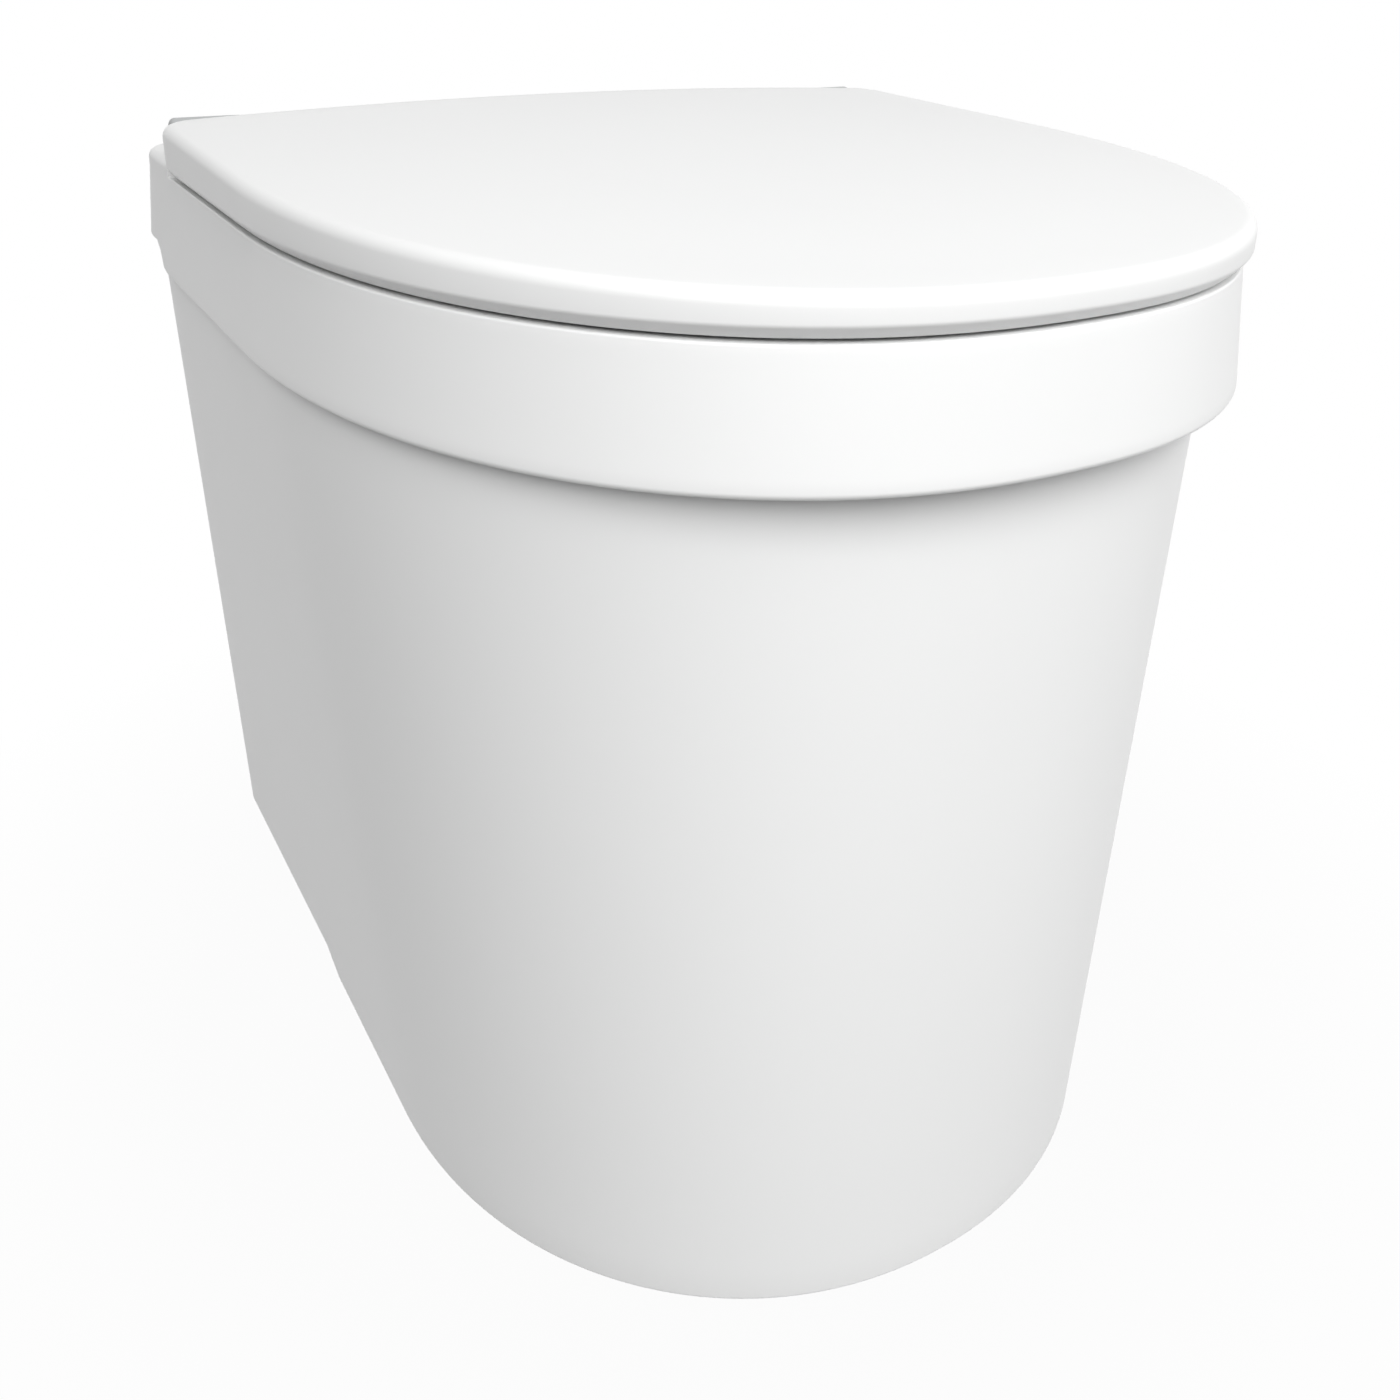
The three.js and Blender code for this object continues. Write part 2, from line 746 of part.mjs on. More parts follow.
function sleeveShape() {
  const inner = bowl.outletRadius + bowl.wall + gap;
  const from = bowlBottom + gap;
  const outside = rod("z", inner + sleeve.thick, from, from + sleeve.length, bowl.outletX, -bowl.outletY);
  const boreTop = from + sleeve.length + overrun;
  return cut(outside, rod("z", inner, from - overrun, boreTop, bowl.outletX, -bowl.outletY));
}

// How high the upright side of the lid stands at each depth, with an arch at the back that fades forwards
function lidSide(x, y) {
  const share = Math.min(1, Math.max(0, -y / lid.front));
  const arch = lid.arch * Math.max(0, 1 - (x / lid.half) ** 2) * (1 - share) ** 2;
  return lidBottom + lid.sideBack + (lid.sideFront - lid.sideBack) * share + arch;
}

// Rings that close a ring over in a low dome
function domed(rim, rise, height) {
  const centre = -lid.front / 2;
  return [0.82, 0.6, 0.36, 0.12].map((share) =>
    rim.map(([x, y]) => {
      const inward = [x * share, centre + (y - centre) * share];
      return [...inward, height(...inward) + rise + lid.crown * (1 - share ** 2)];
    }),
  );
}

function lidVolume() {
  const edgeRings = [0.25, 0.5, 0.75, 1].map((share) => {
    const turn = (Math.PI / 2) * share;
    const by = lid.edge * (1 - Math.cos(turn));
    return ring(inset(lidPlan, by), (x, y) => lidSide(x, y) + lid.edge * Math.sin(turn));
  });
  const rim = edgeRings.at(-1);
  return skin([
    ring(inset(lidPlan, lid.chamferIn), lidBottom),
    ring(lidPlan, lidBottom + lid.chamferUp),
    ring(lidPlan, lidSide),
    ...edgeRings,
    ...domed(rim, lid.edge, lidSide),
  ]);
}

function lidHollow() {
  const mouth = inset(lidPlan, lid.wall + lid.chamferIn);
  const inside = inset(lidPlan, lid.wall);
  const rise = lid.edge - lid.wall;
  const rim = ring(inside, (x, y) => lidSide(x, y) + rise);
  return skin([
    ring(mouth, lidBottom - overrun),
    ring(mouth, lidBottom + lid.chamferUp),
    ring(inside, lidBottom + lid.chamferUp + lid.wall / 2),
    rim,
    ...domed(rim, rise, lidSide),
  ]);
}

function lidShape() {
  const reach = coverFrom - hinge.side / 2;
  const lipBottom = lidBottom + lid.sideBack + lid.edge - lid.wall - lid.lip;
  const depth = lid.wall + lid.chamferIn + lid.chamferUp;
  const backCut = block(-reach, reach, -depth, overrun, lidBottom - overrun, lipBottom);
  const shell = cut(lidVolume(), lidHollow(), backCut);
  const knuckles = [-1, 1].map((side) => {
    const from = postTo + seat.armThick + 2 * hinge.side;
    const [x0, x1] = mirrored(side, from, from + hinge.lidKnuckle);
    const web = block(x0, x1, -lid.wall, axisY, lipBottom, lipBottom + lid.lip);
    return join(web, rod("x", hinge.knuckle, x0, x1, axisY, axisZ, smallSides));
  });
  const bore = rod("x", hinge.pin + play, -lid.half, lid.half, axisY, axisZ, smallSides);
  return join(shell, ...knuckles.map((knuckle) => cut(knuckle, bore)));
}

function seatOval(grow, z, outer) {
  const a = holeHalf + grow;
  const b = holeLong + grow;
  return outer.map(([x, y]) => {
    const along = (y + holeCentre) / b;
    const reach = (Math.abs(x / a) ** ovalPower + Math.abs(along) ** ovalPower) ** (-1 / ovalPower);
    return [x * reach, -holeCentre + (y + holeCentre) * reach, z];
  });
}

function seatRing() {
  const core = inset(collarPlan, collar.ledge + seat.clear);
  const outer = { ...core, back: -seatBack, corner: seat.corner };
  const base = outline(outer);
  const { round, shoulder } = seat;
  return skin(
    [
      ring(inset(outer, round), seatBottom),
      ring(outer, seatBottom + round),
      ring(outer, seatTop - shoulder),
      ring(inset(outer, shoulder / 4), seatTop - shoulder / 3),
      ring(inset(outer, shoulder), seatTop),
      seatOval(shoulder, seatTop - shoulder / 4, base),
      seatOval(shoulder / 4, seatTop - shoulder / 2, base),
      seatOval(0, seatTop - shoulder, base),
      seatOval(0, seatBottom + round, base),
      seatOval(round, seatBottom, base),
    ],
    "z",
    true,
  );
}

function seatArm(side) {
  const [x0, x1] = mirrored(side, postTo + hinge.side, postTo + hinge.side + seat.armThick);
  const low = collarTop + seat.armClear;
  const kneeLow = deck + seat.armClear;
  const profile = [
    [-seatBack - seat.bite, seatTop - seat.shoulder - seat.armHeight],
    [-seatBack, low],
    [-seat.armRise, low],
    [-seat.armClear, kneeLow],
    [axisY, axisZ - hinge.knuckle],
    [axisY, axisZ],
    [collar.deckFront + seat.armClear, axisZ - seat.armBack],
    [-seat.armRise, low + seat.armHeight + seat.armClear],
    [-seatBack, low + seat.armHeight],
    [-seatBack - seat.bite, seatTop - seat.shoulder / 2],
  ];
  return join(prismX(profile, x0, x1), rod("x", hinge.knuckle, x0, x1, axisY, axisZ, smallSides));
}

function seatShape() {
  const bore = rod("x", hinge.pin + play, -lid.half, lid.half, axisY, axisZ, smallSides);
  return cut(join(seatRing(), seatArm(-1), seatArm(1)), bore);
}

// A fixed hinge piece on the deck: an upright cheek rounded over the pin, as high as the knuckles
function cheek(side, from, to, radius, bore) {
  const [x0, x1] = mirrored(side, from, to);
  const centre = axisZ + hinge.knuckle - radius;
  const upright = block(x0, x1, axisY - radius, axisY + radius, deck + gap, centre);
  return cut(join(upright, rod("x", radius, x0, x1, axisY, centre, smallSides)), bore);
}

function pinRod(side, grow) {
  const [x0, x1] = mirrored(side, postFrom + hinge.cap, coverTo - hinge.cap);
  return rod("x", hinge.pin + grow, x0 - grow, x1 + grow, axisY, axisZ, smallSides);
}

function knobShape() {
  const base = collarTop + play;
  const disc = rod("z", valve.knob, base, base + valve.knobBase, 0, -valve.y);
  const grip = plate(
    -valve.gripHalf,
    valve.gripHalf,
    -valve.y - valve.knob + valve.topCover,
    -valve.y + valve.knob - valve.topCover,
    base,
    base + valve.knobBase + valve.grip,
    valve.gripHalf / 2,
  );
  return cut(join(disc, grip), shaftRod(gap));
}

function shaftTop() {
  return collarTop + play + valve.knobBase + valve.grip - valve.topCover;
}

function shaftRod(grow) {
  const bottom = housingTop + seal.height + gap + play;
  return rod("z", valve.shaft + grow, bottom, shaftTop() + grow, 0, -valve.y, smallSides);
}

function shaftShape() {
  const bottom = housingTop + seal.height + gap + play;
  return join(shaftRod(0), rod("z", valve.dog, bottom, bottom + valve.dogThick, 0, -valve.y, smallSides));
}

function wellBlock(grow) {
  const top = tank.top + overrun;
  return block(
    spoutWellX - grow,
    tankHalf + overrun,
    spout.wellY - grow,
    tank.back + overrun,
    spoutWell - grow,
    top,
  );
}

function wheelWell(side, grow) {
  const from = tankHalf - wheel.inset - wheel.width - wheel.inset - grow;
  const [x0, x1] = mirrored(side, from, tankHalf + overrun);
  const reach = wheel.radius + wheel.wellClear + grow;
  return block(x0, x1, -wheel.y - reach, -wheel.y + reach, tank.bottom - overrun, wellTop + grow);
}

function tankShape() {
  const outer = skin([ring(tankPlan, tank.bottom), ring(tankPlan, tank.top)]);
  const within = inset(tankPlan, tank.wall);
  const hollow = cut(
    skin([ring(within, tank.bottom + tank.wall), ring(within, tank.top - tank.wall)]),
    wellBlock(tank.wall),
    wheelWell(1, tank.wall),
    wheelWell(-1, tank.wall),
  );
  const mouthTop = tank.top + overrun;
  const mouth = rod("z", bowl.outletRadius, tank.top - overrun, mouthTop, bowl.outletX, -bowl.outletY);
  const spoutHole = rod("z", spout.hole, spoutWell - overrun, spoutWell + overrun, spoutX, spout.y);
  const ventHole = rod("z", vent.radius, tank.top - overrun, tank.top + overrun, -ventX, vent.y, smallSides);
  const shell = cut(outer, wellBlock(0), wheelWell(1, 0), wheelWell(-1, 0), hollow);
  const pinHoles = [handlePinRod(1, gap), handlePinRod(-1, gap)];
  return cut(join(shell, ...handleLugs()), mouth, spoutHole, ventHole, ...pinHoles);
}

function handleY() {
  return tank.back + handle.out;
}

// Four ears on the back of the tank, one each side of each eye of the handle
function handleLugs() {
  const near = handle.eyeThick / 2 + handle.side;
  return [-1, 1].flatMap((side) =>
    [-near - handle.lug, near].map((from) => {
      const [x0, x1] = mirrored(side, handle.half + from, handle.half + from + handle.lug);
      const low = handleZ - handle.lugHalf;
      const arm = block(x0, x1, tank.back - tank.wall / 2, handleY(), low, handleZ + handle.lugHalf);
      return join(arm, rod("x", handle.lugHalf, x0, x1, handleY(), handleZ, smallSides));
    }),
  );
}

function handlePinRod(side, grow) {
  const reach = handle.eyeThick / 2 + handle.side + handle.lug;
  const [x0, x1] = mirrored(side, handle.half - reach + handle.side, handle.half + reach);
  return rod("x", handle.pin + grow, x0 - grow, x1 + grow, handleY(), handleZ, smallSides);
}

function handleShape() {
  const path = new THREE.CurvePath();
  const y = handleY();
  const top = handleZ;
  const bottom = handleZ - handle.drop;
  const turn = handle.bend;
  const at = (x, z) => new THREE.Vector3(x, y, z);
  path.add(new THREE.LineCurve3(at(-handle.half, top), at(-handle.half, bottom + turn)));
  path.add(
    new THREE.QuadraticBezierCurve3(
      at(-handle.half, bottom + turn),
      at(-handle.half, bottom),
      at(-handle.half + turn, bottom),
    ),
  );
  path.add(new THREE.LineCurve3(at(-handle.half + turn, bottom), at(handle.half - turn, bottom)));
  path.add(
    new THREE.QuadraticBezierCurve3(
      at(handle.half - turn, bottom),
      at(handle.half, bottom),
      at(handle.half, bottom + turn),
    ),
  );
  path.add(new THREE.LineCurve3(at(handle.half, bottom + turn), at(handle.half, top)));
  const bow = bar(path, handle.rod - gap, 40);
  const eyes = [-1, 1].map((side) => {
    const [x0, x1] = mirrored(side, handle.half - handle.eyeThick / 2, handle.half + handle.eyeThick / 2);
    return rod("x", handle.eye, x0, x1, y, handleZ, smallSides);
  });
  const trims = [-1, 1].flatMap((side) => earTrims(side));
  const boreReach = handle.half + handle.eye;
  const bore = rod("x", handle.pin + play, -boreReach, boreReach, y, handleZ, smallSides);
  return cut(join(bow, ...eyes), ...trims, bore);
}

// Keeps the round bar clear of the ears beside each eye
function earTrims(side) {
  const y = handleY();
  const reach = handle.lugHalf + play;
  return [
    [handle.half - handle.rod - overrun, handle.half - handle.eyeThick / 2],
    [handle.half + handle.eyeThick / 2, handle.half + handle.rod + overrun],
  ].map(([from, to]) => {
    const [x0, x1] = mirrored(side, from, to);
    return rod("x", reach, x0, x1, y, handleZ, smallSides);
  });
}

function housingShape() {
  const right = tankHalf - gap;
  const left = -bladeRadius - housing.side;
  const front = -bowl.outletY - bladeRadius - housing.ahead;
  const back = -valve.y + housing.behind;
  const base = bladeFloor;
  const outer = plate(left, right, front, back, base, housingTop, housing.round);
  const w = housing.wall;
  const inner = plate(
    left + w,
    right - w,
    front + w,
    back - w,
    base - overrun,
    housingTop - housing.lid,
    housing.round - w,
  );
  const mouthTop = housingTop + overrun;
  const mouth = rod("z", bowl.outletRadius, base - overrun, mouthTop, bowl.outletX, -bowl.outletY);
  const pivot = rod("z", valve.boss + play, base, housingTop + overrun, 0, -valve.y, smallSides);
  return cut(outer, inner, mouth, pivot);
}

function sealShape() {
  const base = housingTop + gap;
  const foot = base - overrun;
  const top = base + seal.height - gap;
  const outer = rod("z", bowl.outletRadius + seal.width, base, top, bowl.outletX, -bowl.outletY);
  return cut(outer, rod("z", bowl.outletRadius, foot, top + overrun, bowl.outletX, -bowl.outletY));
}

function bladeShape() {
  const base = bladeFloor + gap + play;
  const top = base + valve.bladeThick;
  return join(
    rod("z", bladeRadius, base, top, bowl.outletX, -bowl.outletY),
    block(-valve.armHalf, valve.armHalf, -bowl.outletY, -valve.y, base, top),
    rod("z", valve.boss, base, housingTop + seal.height, 0, -valve.y, smallSides),
    rod("z", valve.bossTop, housingTop + play, housingTop + seal.height, 0, -valve.y, smallSides),
  );
}

function spoutPath(from, end) {
  const path = new THREE.CurvePath();
  const z0 = from;
  const z1 = spoutWell + spout.ringThick + spout.rise;
  const z2 = z1 + spout.bend;
  const foot = new THREE.Vector3(spoutX, spout.y, z0);
  path.add(new THREE.LineCurve3(foot, new THREE.Vector3(spoutX, spout.y, z1)));
  path.add(
    new THREE.QuadraticBezierCurve3(
      new THREE.Vector3(spoutX, spout.y, z1),
      new THREE.Vector3(spoutX, spout.y, z2),
      new THREE.Vector3(spoutX - spout.bend, spout.y, z2),
    ),
  );
  path.add(
    new THREE.LineCurve3(
      new THREE.Vector3(spoutX - spout.bend, spout.y, z2),
      new THREE.Vector3(end, spout.y, z2),
    ),
  );
  return path;
}

function spoutAxisZ() {
  return spoutWell + spout.ringThick + spout.rise + spout.bend;
}

function spoutShape() {
  const foot = spoutWell + gap;
  const outer = bar(spoutPath(foot, spoutEnd), spout.radius, 16, roundSides);
  const innerPath = spoutPath(foot - overrun, spoutEnd - overrun);
  const inner = bar(innerPath, spout.radius - spout.wall, 16, roundSides);
  return cut(outer, inner);
}

function spoutRingShape() {
  const inner = spout.radius + play;
  const base = spoutWell + gap;
  const outer = rod("z", inner + spout.ringWidth, base, base + spout.ringThick - gap, spoutX, spout.y);
  return cut(outer, rod("z", inner, base - overrun, base + spout.ringThick + overrun, spoutX, spout.y));
}

function capShape() {
  const inner = spout.radius + cap.radialGap;
  const z = spoutAxisZ();
  const open = spoutEnd + cap.depth;
  const closed = spoutEnd - gap - cap.face;
  const outer = rod("x", inner + cap.wall, closed, open, spout.y, z, smallSides);
  return cut(outer, rod("x", inner, spoutEnd - gap, open + overrun, spout.y, z));
}

function ventShape() {
  const base = tank.top - vent.below;
  const stem = rod("z", vent.radius - play, base, tank.top + vent.height, -ventX, vent.y, smallSides);
  return stem;
}

function wheelPlace(side) {
  return mirrored(side, tankHalf - wheel.inset - wheel.width, tankHalf - wheel.inset);
}

function wheelZ() {
  return tray.thick + wheel.lift + wheel.radius;
}

function wheelShape(side) {
  const [x0, x1] = wheelPlace(side);
  const disc = rod("x", wheel.radius, x0, x1, -wheel.y, wheelZ());
  const groove = wheel.width / 4;
  const rimCut = cut(
    rod("x", wheel.radius * 0.74, x0 - overrun, x0 + groove, -wheel.y, wheelZ()),
    rod("x", wheel.radius * 0.34, x0 - overrun, x0 + groove, -wheel.y, wheelZ()),
  );
  const bore = rod("x", wheel.axle + play, x0 - overrun, x1 + overrun, -wheel.y, wheelZ(), smallSides);
  return cut(disc, rimCut, bore);
}

function axleShape(side) {
  const well = tankHalf - 2 * wheel.inset - wheel.width;
  const [x0, x1] = mirrored(side, well + gap, tankHalf - gap);
  return rod("x", wheel.axle, x0, x1, -wheel.y, wheelZ(), smallSides);
}

function buttonShape() {
  const top = deck + flush.proud;
  return rod("z", flush.radius, top - flush.height, top, -flushX, flushY);
}

function bezelShape() {
  const inner = flush.radius + play;
  const base = deck + gap;
  const outer = rod("z", inner + flush.bezel, base, base + flush.bezelThick, -flushX, flushY);
  return cut(outer, rod("z", inner, base - overrun, base + overrun, -flushX, flushY));
}

function lensShape() {
  const under = deck - collar.deckWall - gap;
  return join(
    rod("z", lens.radius, under - lens.flangeThick / 2, deck + lens.proud, lensX, flushY),
    rod("z", lens.radius + lens.flange, under - lens.flangeThick, under, lensX, flushY),
  );
}

function boxShape() {
  const top = deck - collar.deckWall - box.drop;
  return plate(
    -flushX - box.outside,
    -flushX + box.inside,
    flushY - box.ahead,
    flushY + box.behind,
    top - box.height,
    top,
    box.stud,
  );
}

function pumpShape() {
  const top = pumpBottom + pump.height;
  const y = (pumpFront + pumpBack) / 2;
  return join(
    block(-pumpX - pump.half, -pumpX + pump.half, pumpFront, pumpBack, pumpBottom, top),
    rod("z", pump.spigot, top - gap, top + pump.spigotUp, -pumpX, y, smallSides),
  );
}

// Where the leaning back of the body is at a height
function backAt(z) {
  return body.back + (collar.rear - body.rearGap - body.back) * (z / skirtBottom);
}

function nippleShape() {
  const z = nippleZ();
  const wall = backAt(z - nipple.flange);
  const tube = join(
    rod("y", nipple.radius, pumpBack + gap, wall + nipple.out, -pumpX, z, smallSides),
    rod("y", nipple.flange, wall + play, wall + nipple.flangeThick, -pumpX, z, 6),
  );
  const boreEnd = wall + nipple.out + overrun;
  return cut(tube, rod("y", nipple.bore, pumpBack + nipple.bore, boreEnd, -pumpX, z, smallSides));
}

function glandShape() {
  const z = nippleZ();
  const wall = backAt(z - gland.flange);
  const tube = join(
    rod("y", gland.radius, pumpBack - gland.inside, wall + gland.out, pumpX, z, smallSides),
    rod("y", gland.flange, wall + play, wall + gland.flangeThick, pumpX, z, 6),
  );
  const from = pumpBack - gland.inside - overrun;
  return cut(tube, rod("y", gland.bore, from, wall + gland.out + overrun, pumpX, z, smallSides));
}

// The flush hose, from the spigot of the water valve to the nozzle in the back of the bowl
function hoseShape() {
  const top = pumpBottom + pump.height + pump.spigotUp + gap;
  const y = (pumpFront + pumpBack) / 2;
  const end = nozzleY() + nozzle.outside + gap;
  const rise = nozzleZ() - top;
  const run = y - end;
  const across = pumpX - nozzle.x;
  const stations = [
    [0, 0, 0],
    [0, 0, 0.3],
    [0.03, 0.1, 0.72],
    [0.25, 0.36, 0.95],
    [0.7, 0.66, 1],
    [0.97, 0.86, 1],
    [1, 0.93, 1],
    [1, 1, 1],
  ];
  const points = stations.map(
    ([a, b, c]) => new THREE.Vector3(-pumpX + across * a, y - run * b, top + rise * c),
  );
  return bar(new THREE.CatmullRomCurve3(points), hose.radius, 22, 10);
}

function screwShape([x, y]) {
  const base = recessFloor + gap;
  return join(
    rod("z", screw.head, base, base + screwHeight.head, x, y, smallSides),
    rod("z", screw.shank, base - screwHeight.length, base + gap, x, y, smallSides / 2),
  );
}

// The place of a buffer, between the flange of the bowl and the edge of the recess, which both narrow to the
// front
function bufferPlace({ across, along }) {
  const reach = bowl.wall + bowl.flange;
  const y = bowlCentre + (bowlHalfY + reach) * along;
  const narrowed = (deep, long, power) => (1 - Math.max(0, deep / long) ** power) ** (1 / power);
  const edge = inset(collarPlan, collar.ledge);
  const outer = edge.half * narrowed(y - edge.straight, edge.front - edge.straight, dPower);
  const inner = (bowlHalfX + reach) * narrowed(Math.abs(y - bowlCentre), bowlHalfY + reach, ovalPower);
  return [inner + (outer - inner) * across, -y];
}

function seatBuffer(x, y) {
  return rod("z", bufferRadius, recessFloor + gap, seatBottom - gap, x, y, smallSides);
}

// A buffer between the seat and the hollow underside of the lid, trimmed to the lid
function lidBuffer(x, y, lidSolid) {
  const top = lidSide(x, y) + lid.edge - lid.wall / 2;
  const post = rod("z", bufferRadius, seatTop + gap, top, x, y, smallSides);
  return cut(post, lidSolid.translate([0, 0, -gap]));
}

part("body_shell", bodyShell(), "shell");
part("base_tray", baseTray(), "inner");
part("rail_left", railShape(-1), "grey");
part("rail_right", railShape(1), "grey");
part("collar", collarShape(), "shell");
part("bowl", bowlShape(), "inner");
part("outlet_sleeve", sleeveShape(), "rubber");
part("flush_nozzle", cut(nozzleRod(0), nozzleBore()), "grey");
part("flush_hose", hoseShape(), "hose");

function nozzleBore() {
  const y = nozzleY();
  return rod("y", nozzle.radius / 2, y - nozzle.inside - overrun, y, -nozzle.x, nozzleZ(), smallSides);
}

for (const [label, side] of [["left", -1], ["right", 1]]) {
  const bore = pinRod(side, gap);
  part(`hinge_cover_${label}`, cheek(side, coverFrom, coverTo, hinge.cover, bore), "grey");
  part(`hinge_post_${label}`, cheek(side, postFrom, postTo, hinge.postHalf, bore), "shell");
  part(`hinge_pin_${label}`, pinRod(side, 0), "steel");
}

part("seat", seatShape(), "shell");
const lidSolid = part("lid", lidShape(), "shell");
const bufferPlaces = [bufferShares.rear, bufferShares.front].flatMap((shares) => {
  const [x, y] = bufferPlace(shares);
  return [
    [-x, y],
    [x, y],
  ];
});
const [lidBufferX, lidBufferY] = bufferPlace(bufferShares.lid);
bufferPlaces.forEach(([x, y], i) => part(`seat_buffer_${i + 1}`, seatBuffer(x, y), "grey"));
part("lid_buffer_left", lidBuffer(-lidBufferX, lidBufferY, lidSolid), "grey");
part("lid_buffer_right", lidBuffer(lidBufferX, lidBufferY, lidSolid), "grey");

part("flush_button", buttonShape(), "grey");
part("button_bezel", bezelShape(), "grey");
part("level_window", lensShape(), "clear");
part("control_box", boxShape(), "dark");
part("water_valve", pumpShape(), "dark");
part("inlet_nipple", nippleShape(), "grey");
part("cable_gland", glandShape(), "dark");
screwPlaces().forEach((place, i) => part(`collar_screw_${i + 1}`, screwShape(place), "steel"));

part("valve_knob", knobShape(), "grey");
part("valve_shaft", shaftShape(), "steel");
part("valve_blade", bladeShape(), "dark");
part("cassette_tank", tankShape(), "inner");
part("valve_housing", housingShape(), "grey");
part("lip_seal", sealShape(), "rubber");
part("spout", spoutShape(), "inner");
part("spout_ring", spoutRingShape(), "grey");
part("spout_cap", capShape(), "dark");
part("vent_button", ventShape(), "dark");
part("carry_handle", handleShape(), "dark");
for (const [label, side] of [["left", -1], ["right", 1]]) {
  part(`handle_pin_${label}`, handlePinRod(side, 0), "steel");
  part(`wheel_${label}`, wheelShape(side), "dark");
  part(`wheel_axle_${label}`, axleShape(side), "steel");
}

// The toilet stands centred over its footprint
toilet.position.y = (skirtFront - backAt(body.reliefUp)) / 2;

export default toilet;
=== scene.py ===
# %% [markdown]
# A cassette toilet for a caravan, dressed for its picture.
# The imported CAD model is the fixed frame: it gives the size, the places and the joints. This lesson
# puts finer surfaces over it, gives every surface a finish, and sets a pale studio round it. Each
# cell makes one thing.

import json
import math

import bmesh
import bpy
import numpy as np
from mathutils import Matrix, Vector
from mathutils.geometry import tessellate_polygon

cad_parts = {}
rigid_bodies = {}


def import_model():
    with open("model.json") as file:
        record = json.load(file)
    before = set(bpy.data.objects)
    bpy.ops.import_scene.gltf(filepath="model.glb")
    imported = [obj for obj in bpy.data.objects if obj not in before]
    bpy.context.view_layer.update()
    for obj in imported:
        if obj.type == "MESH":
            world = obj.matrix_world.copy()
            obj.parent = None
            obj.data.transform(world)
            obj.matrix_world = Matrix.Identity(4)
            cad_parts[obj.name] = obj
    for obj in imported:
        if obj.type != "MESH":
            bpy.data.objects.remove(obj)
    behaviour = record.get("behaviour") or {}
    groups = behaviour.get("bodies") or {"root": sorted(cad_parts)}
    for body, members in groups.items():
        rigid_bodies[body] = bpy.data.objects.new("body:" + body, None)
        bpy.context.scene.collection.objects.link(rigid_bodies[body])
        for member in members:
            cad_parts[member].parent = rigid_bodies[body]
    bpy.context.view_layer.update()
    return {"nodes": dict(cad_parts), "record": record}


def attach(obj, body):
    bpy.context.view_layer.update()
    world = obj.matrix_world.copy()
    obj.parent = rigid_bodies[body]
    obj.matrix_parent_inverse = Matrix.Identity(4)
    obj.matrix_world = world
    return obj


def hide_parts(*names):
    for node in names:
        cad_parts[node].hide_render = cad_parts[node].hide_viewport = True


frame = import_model()

# %% [markdown]
# All sizes below are in millimetres, in the drawing's own frame: the front faces -Y and y = 0 is
# the back edge of the lid. The finished model stands centred over its footprint, so each mesh is
# moved back by one distance and turned into metres when it is made.

# %% Sizes in millimetres
MM = 0.001
SHIFT = 134.982
SKIRT_BOTTOM = 363.0
LOWER_EDGE = 2.5
UNDERSIDE = 392.0
NECK_TOP = UNDERSIDE - 0.3
RECESS_FLOOR = 396.0
COLLAR_TOP = 410.25
LID_BOTTOM = 411.75
LIP_BOTTOM = 428.0
DECK = 417.0
DECK_FRONT = 1.5
AXIS_Y = 11.5
AXIS_Z = 430.0
KNUCKLE = 5.0
BOWL_Y = -215.0
BUTTON, WINDOW, SHAFT = (-60.0, 38.0), (60.0, 38.0), (0.0, -50.0)
lid_plan = dict(half=198.0, front=380.0, straight=130.0, back=0.0, corner=14.0, power=2.25)
collar_plan = dict(half=195.2, front=377.2, straight=130.0, back=76.0, corner=34.0, power=2.25)
skirt_plan = dict(collar_plan, half=199.7, front=381.7)
recess_plan = dict(collar_plan, half=183.2, front=365.2, back=-70.0, corner=22.0)
shoulder_plan = dict(collar_plan, half=195.6, front=364.7, back=62.0)
neck_plan = dict(shoulder_plan, half=193.2, front=362.3, back=59.6)
base_plan = dict(half=172.0, front=361.0, straight=178.0, back=113.0, corner=14.0, power=2.1)
seat_plan = dict(collar_plan, half=180.7, front=362.7, back=-72.5, corner=20.0)
print("drawing sizes set; the lid is", 2 * lid_plan["half"], "mm wide")

# %% [markdown]
# The camera comes first. Its place, turn and lens were found by matching the model's edges to the
# edges in the photograph. The picture is 1400 pixels square, and the optical axis meets it well
# above its middle and a little to the left, so the lens is shifted by just that much.

# %% Camera
PICTURE = 1400.0
azimuth, elevation, roll = (math.radians(angle) for angle in (-30.61, 22.36, 1.14))
focal_px, axis_column, axis_row = 1406.16, 695.78, 500.0
eye = Vector((-314.86 * MM, (-677.67 + SHIFT) * MM, 522.24 * MM))
backwards = Vector(
    (
        math.sin(azimuth) * math.cos(elevation),
        -math.cos(azimuth) * math.cos(elevation),
        math.sin(elevation),
    )
)
level_right = Vector((0, 0, 1)).cross(backwards).normalized()
level_up = backwards.cross(level_right)
right = level_right * math.cos(roll) + level_up * math.sin(roll)
up = level_up * math.cos(roll) - level_right * math.sin(roll)
lens = bpy.data.cameras.new("camera")
camera = bpy.data.objects.new("camera", lens)
bpy.context.scene.collection.objects.link(camera)
camera.matrix_world = Matrix(
    [[right[i], up[i], backwards[i], eye[i]] for i in range(3)] + [[0, 0, 0, 1]]
)
lens.sensor_fit = "HORIZONTAL"
lens.sensor_width = 36.0
lens.lens = focal_px / PICTURE * lens.sensor_width
lens.shift_x = (PICTURE / 2 - axis_column) / PICTURE
lens.shift_y = (axis_row - PICTURE / 2) / PICTURE
lens.clip_start, lens.clip_end = 0.05, 60.0
lens.dof.use_dof = False
bpy.context.scene.camera = camera
bpy.context.scene.view_settings.view_transform = "Standard"
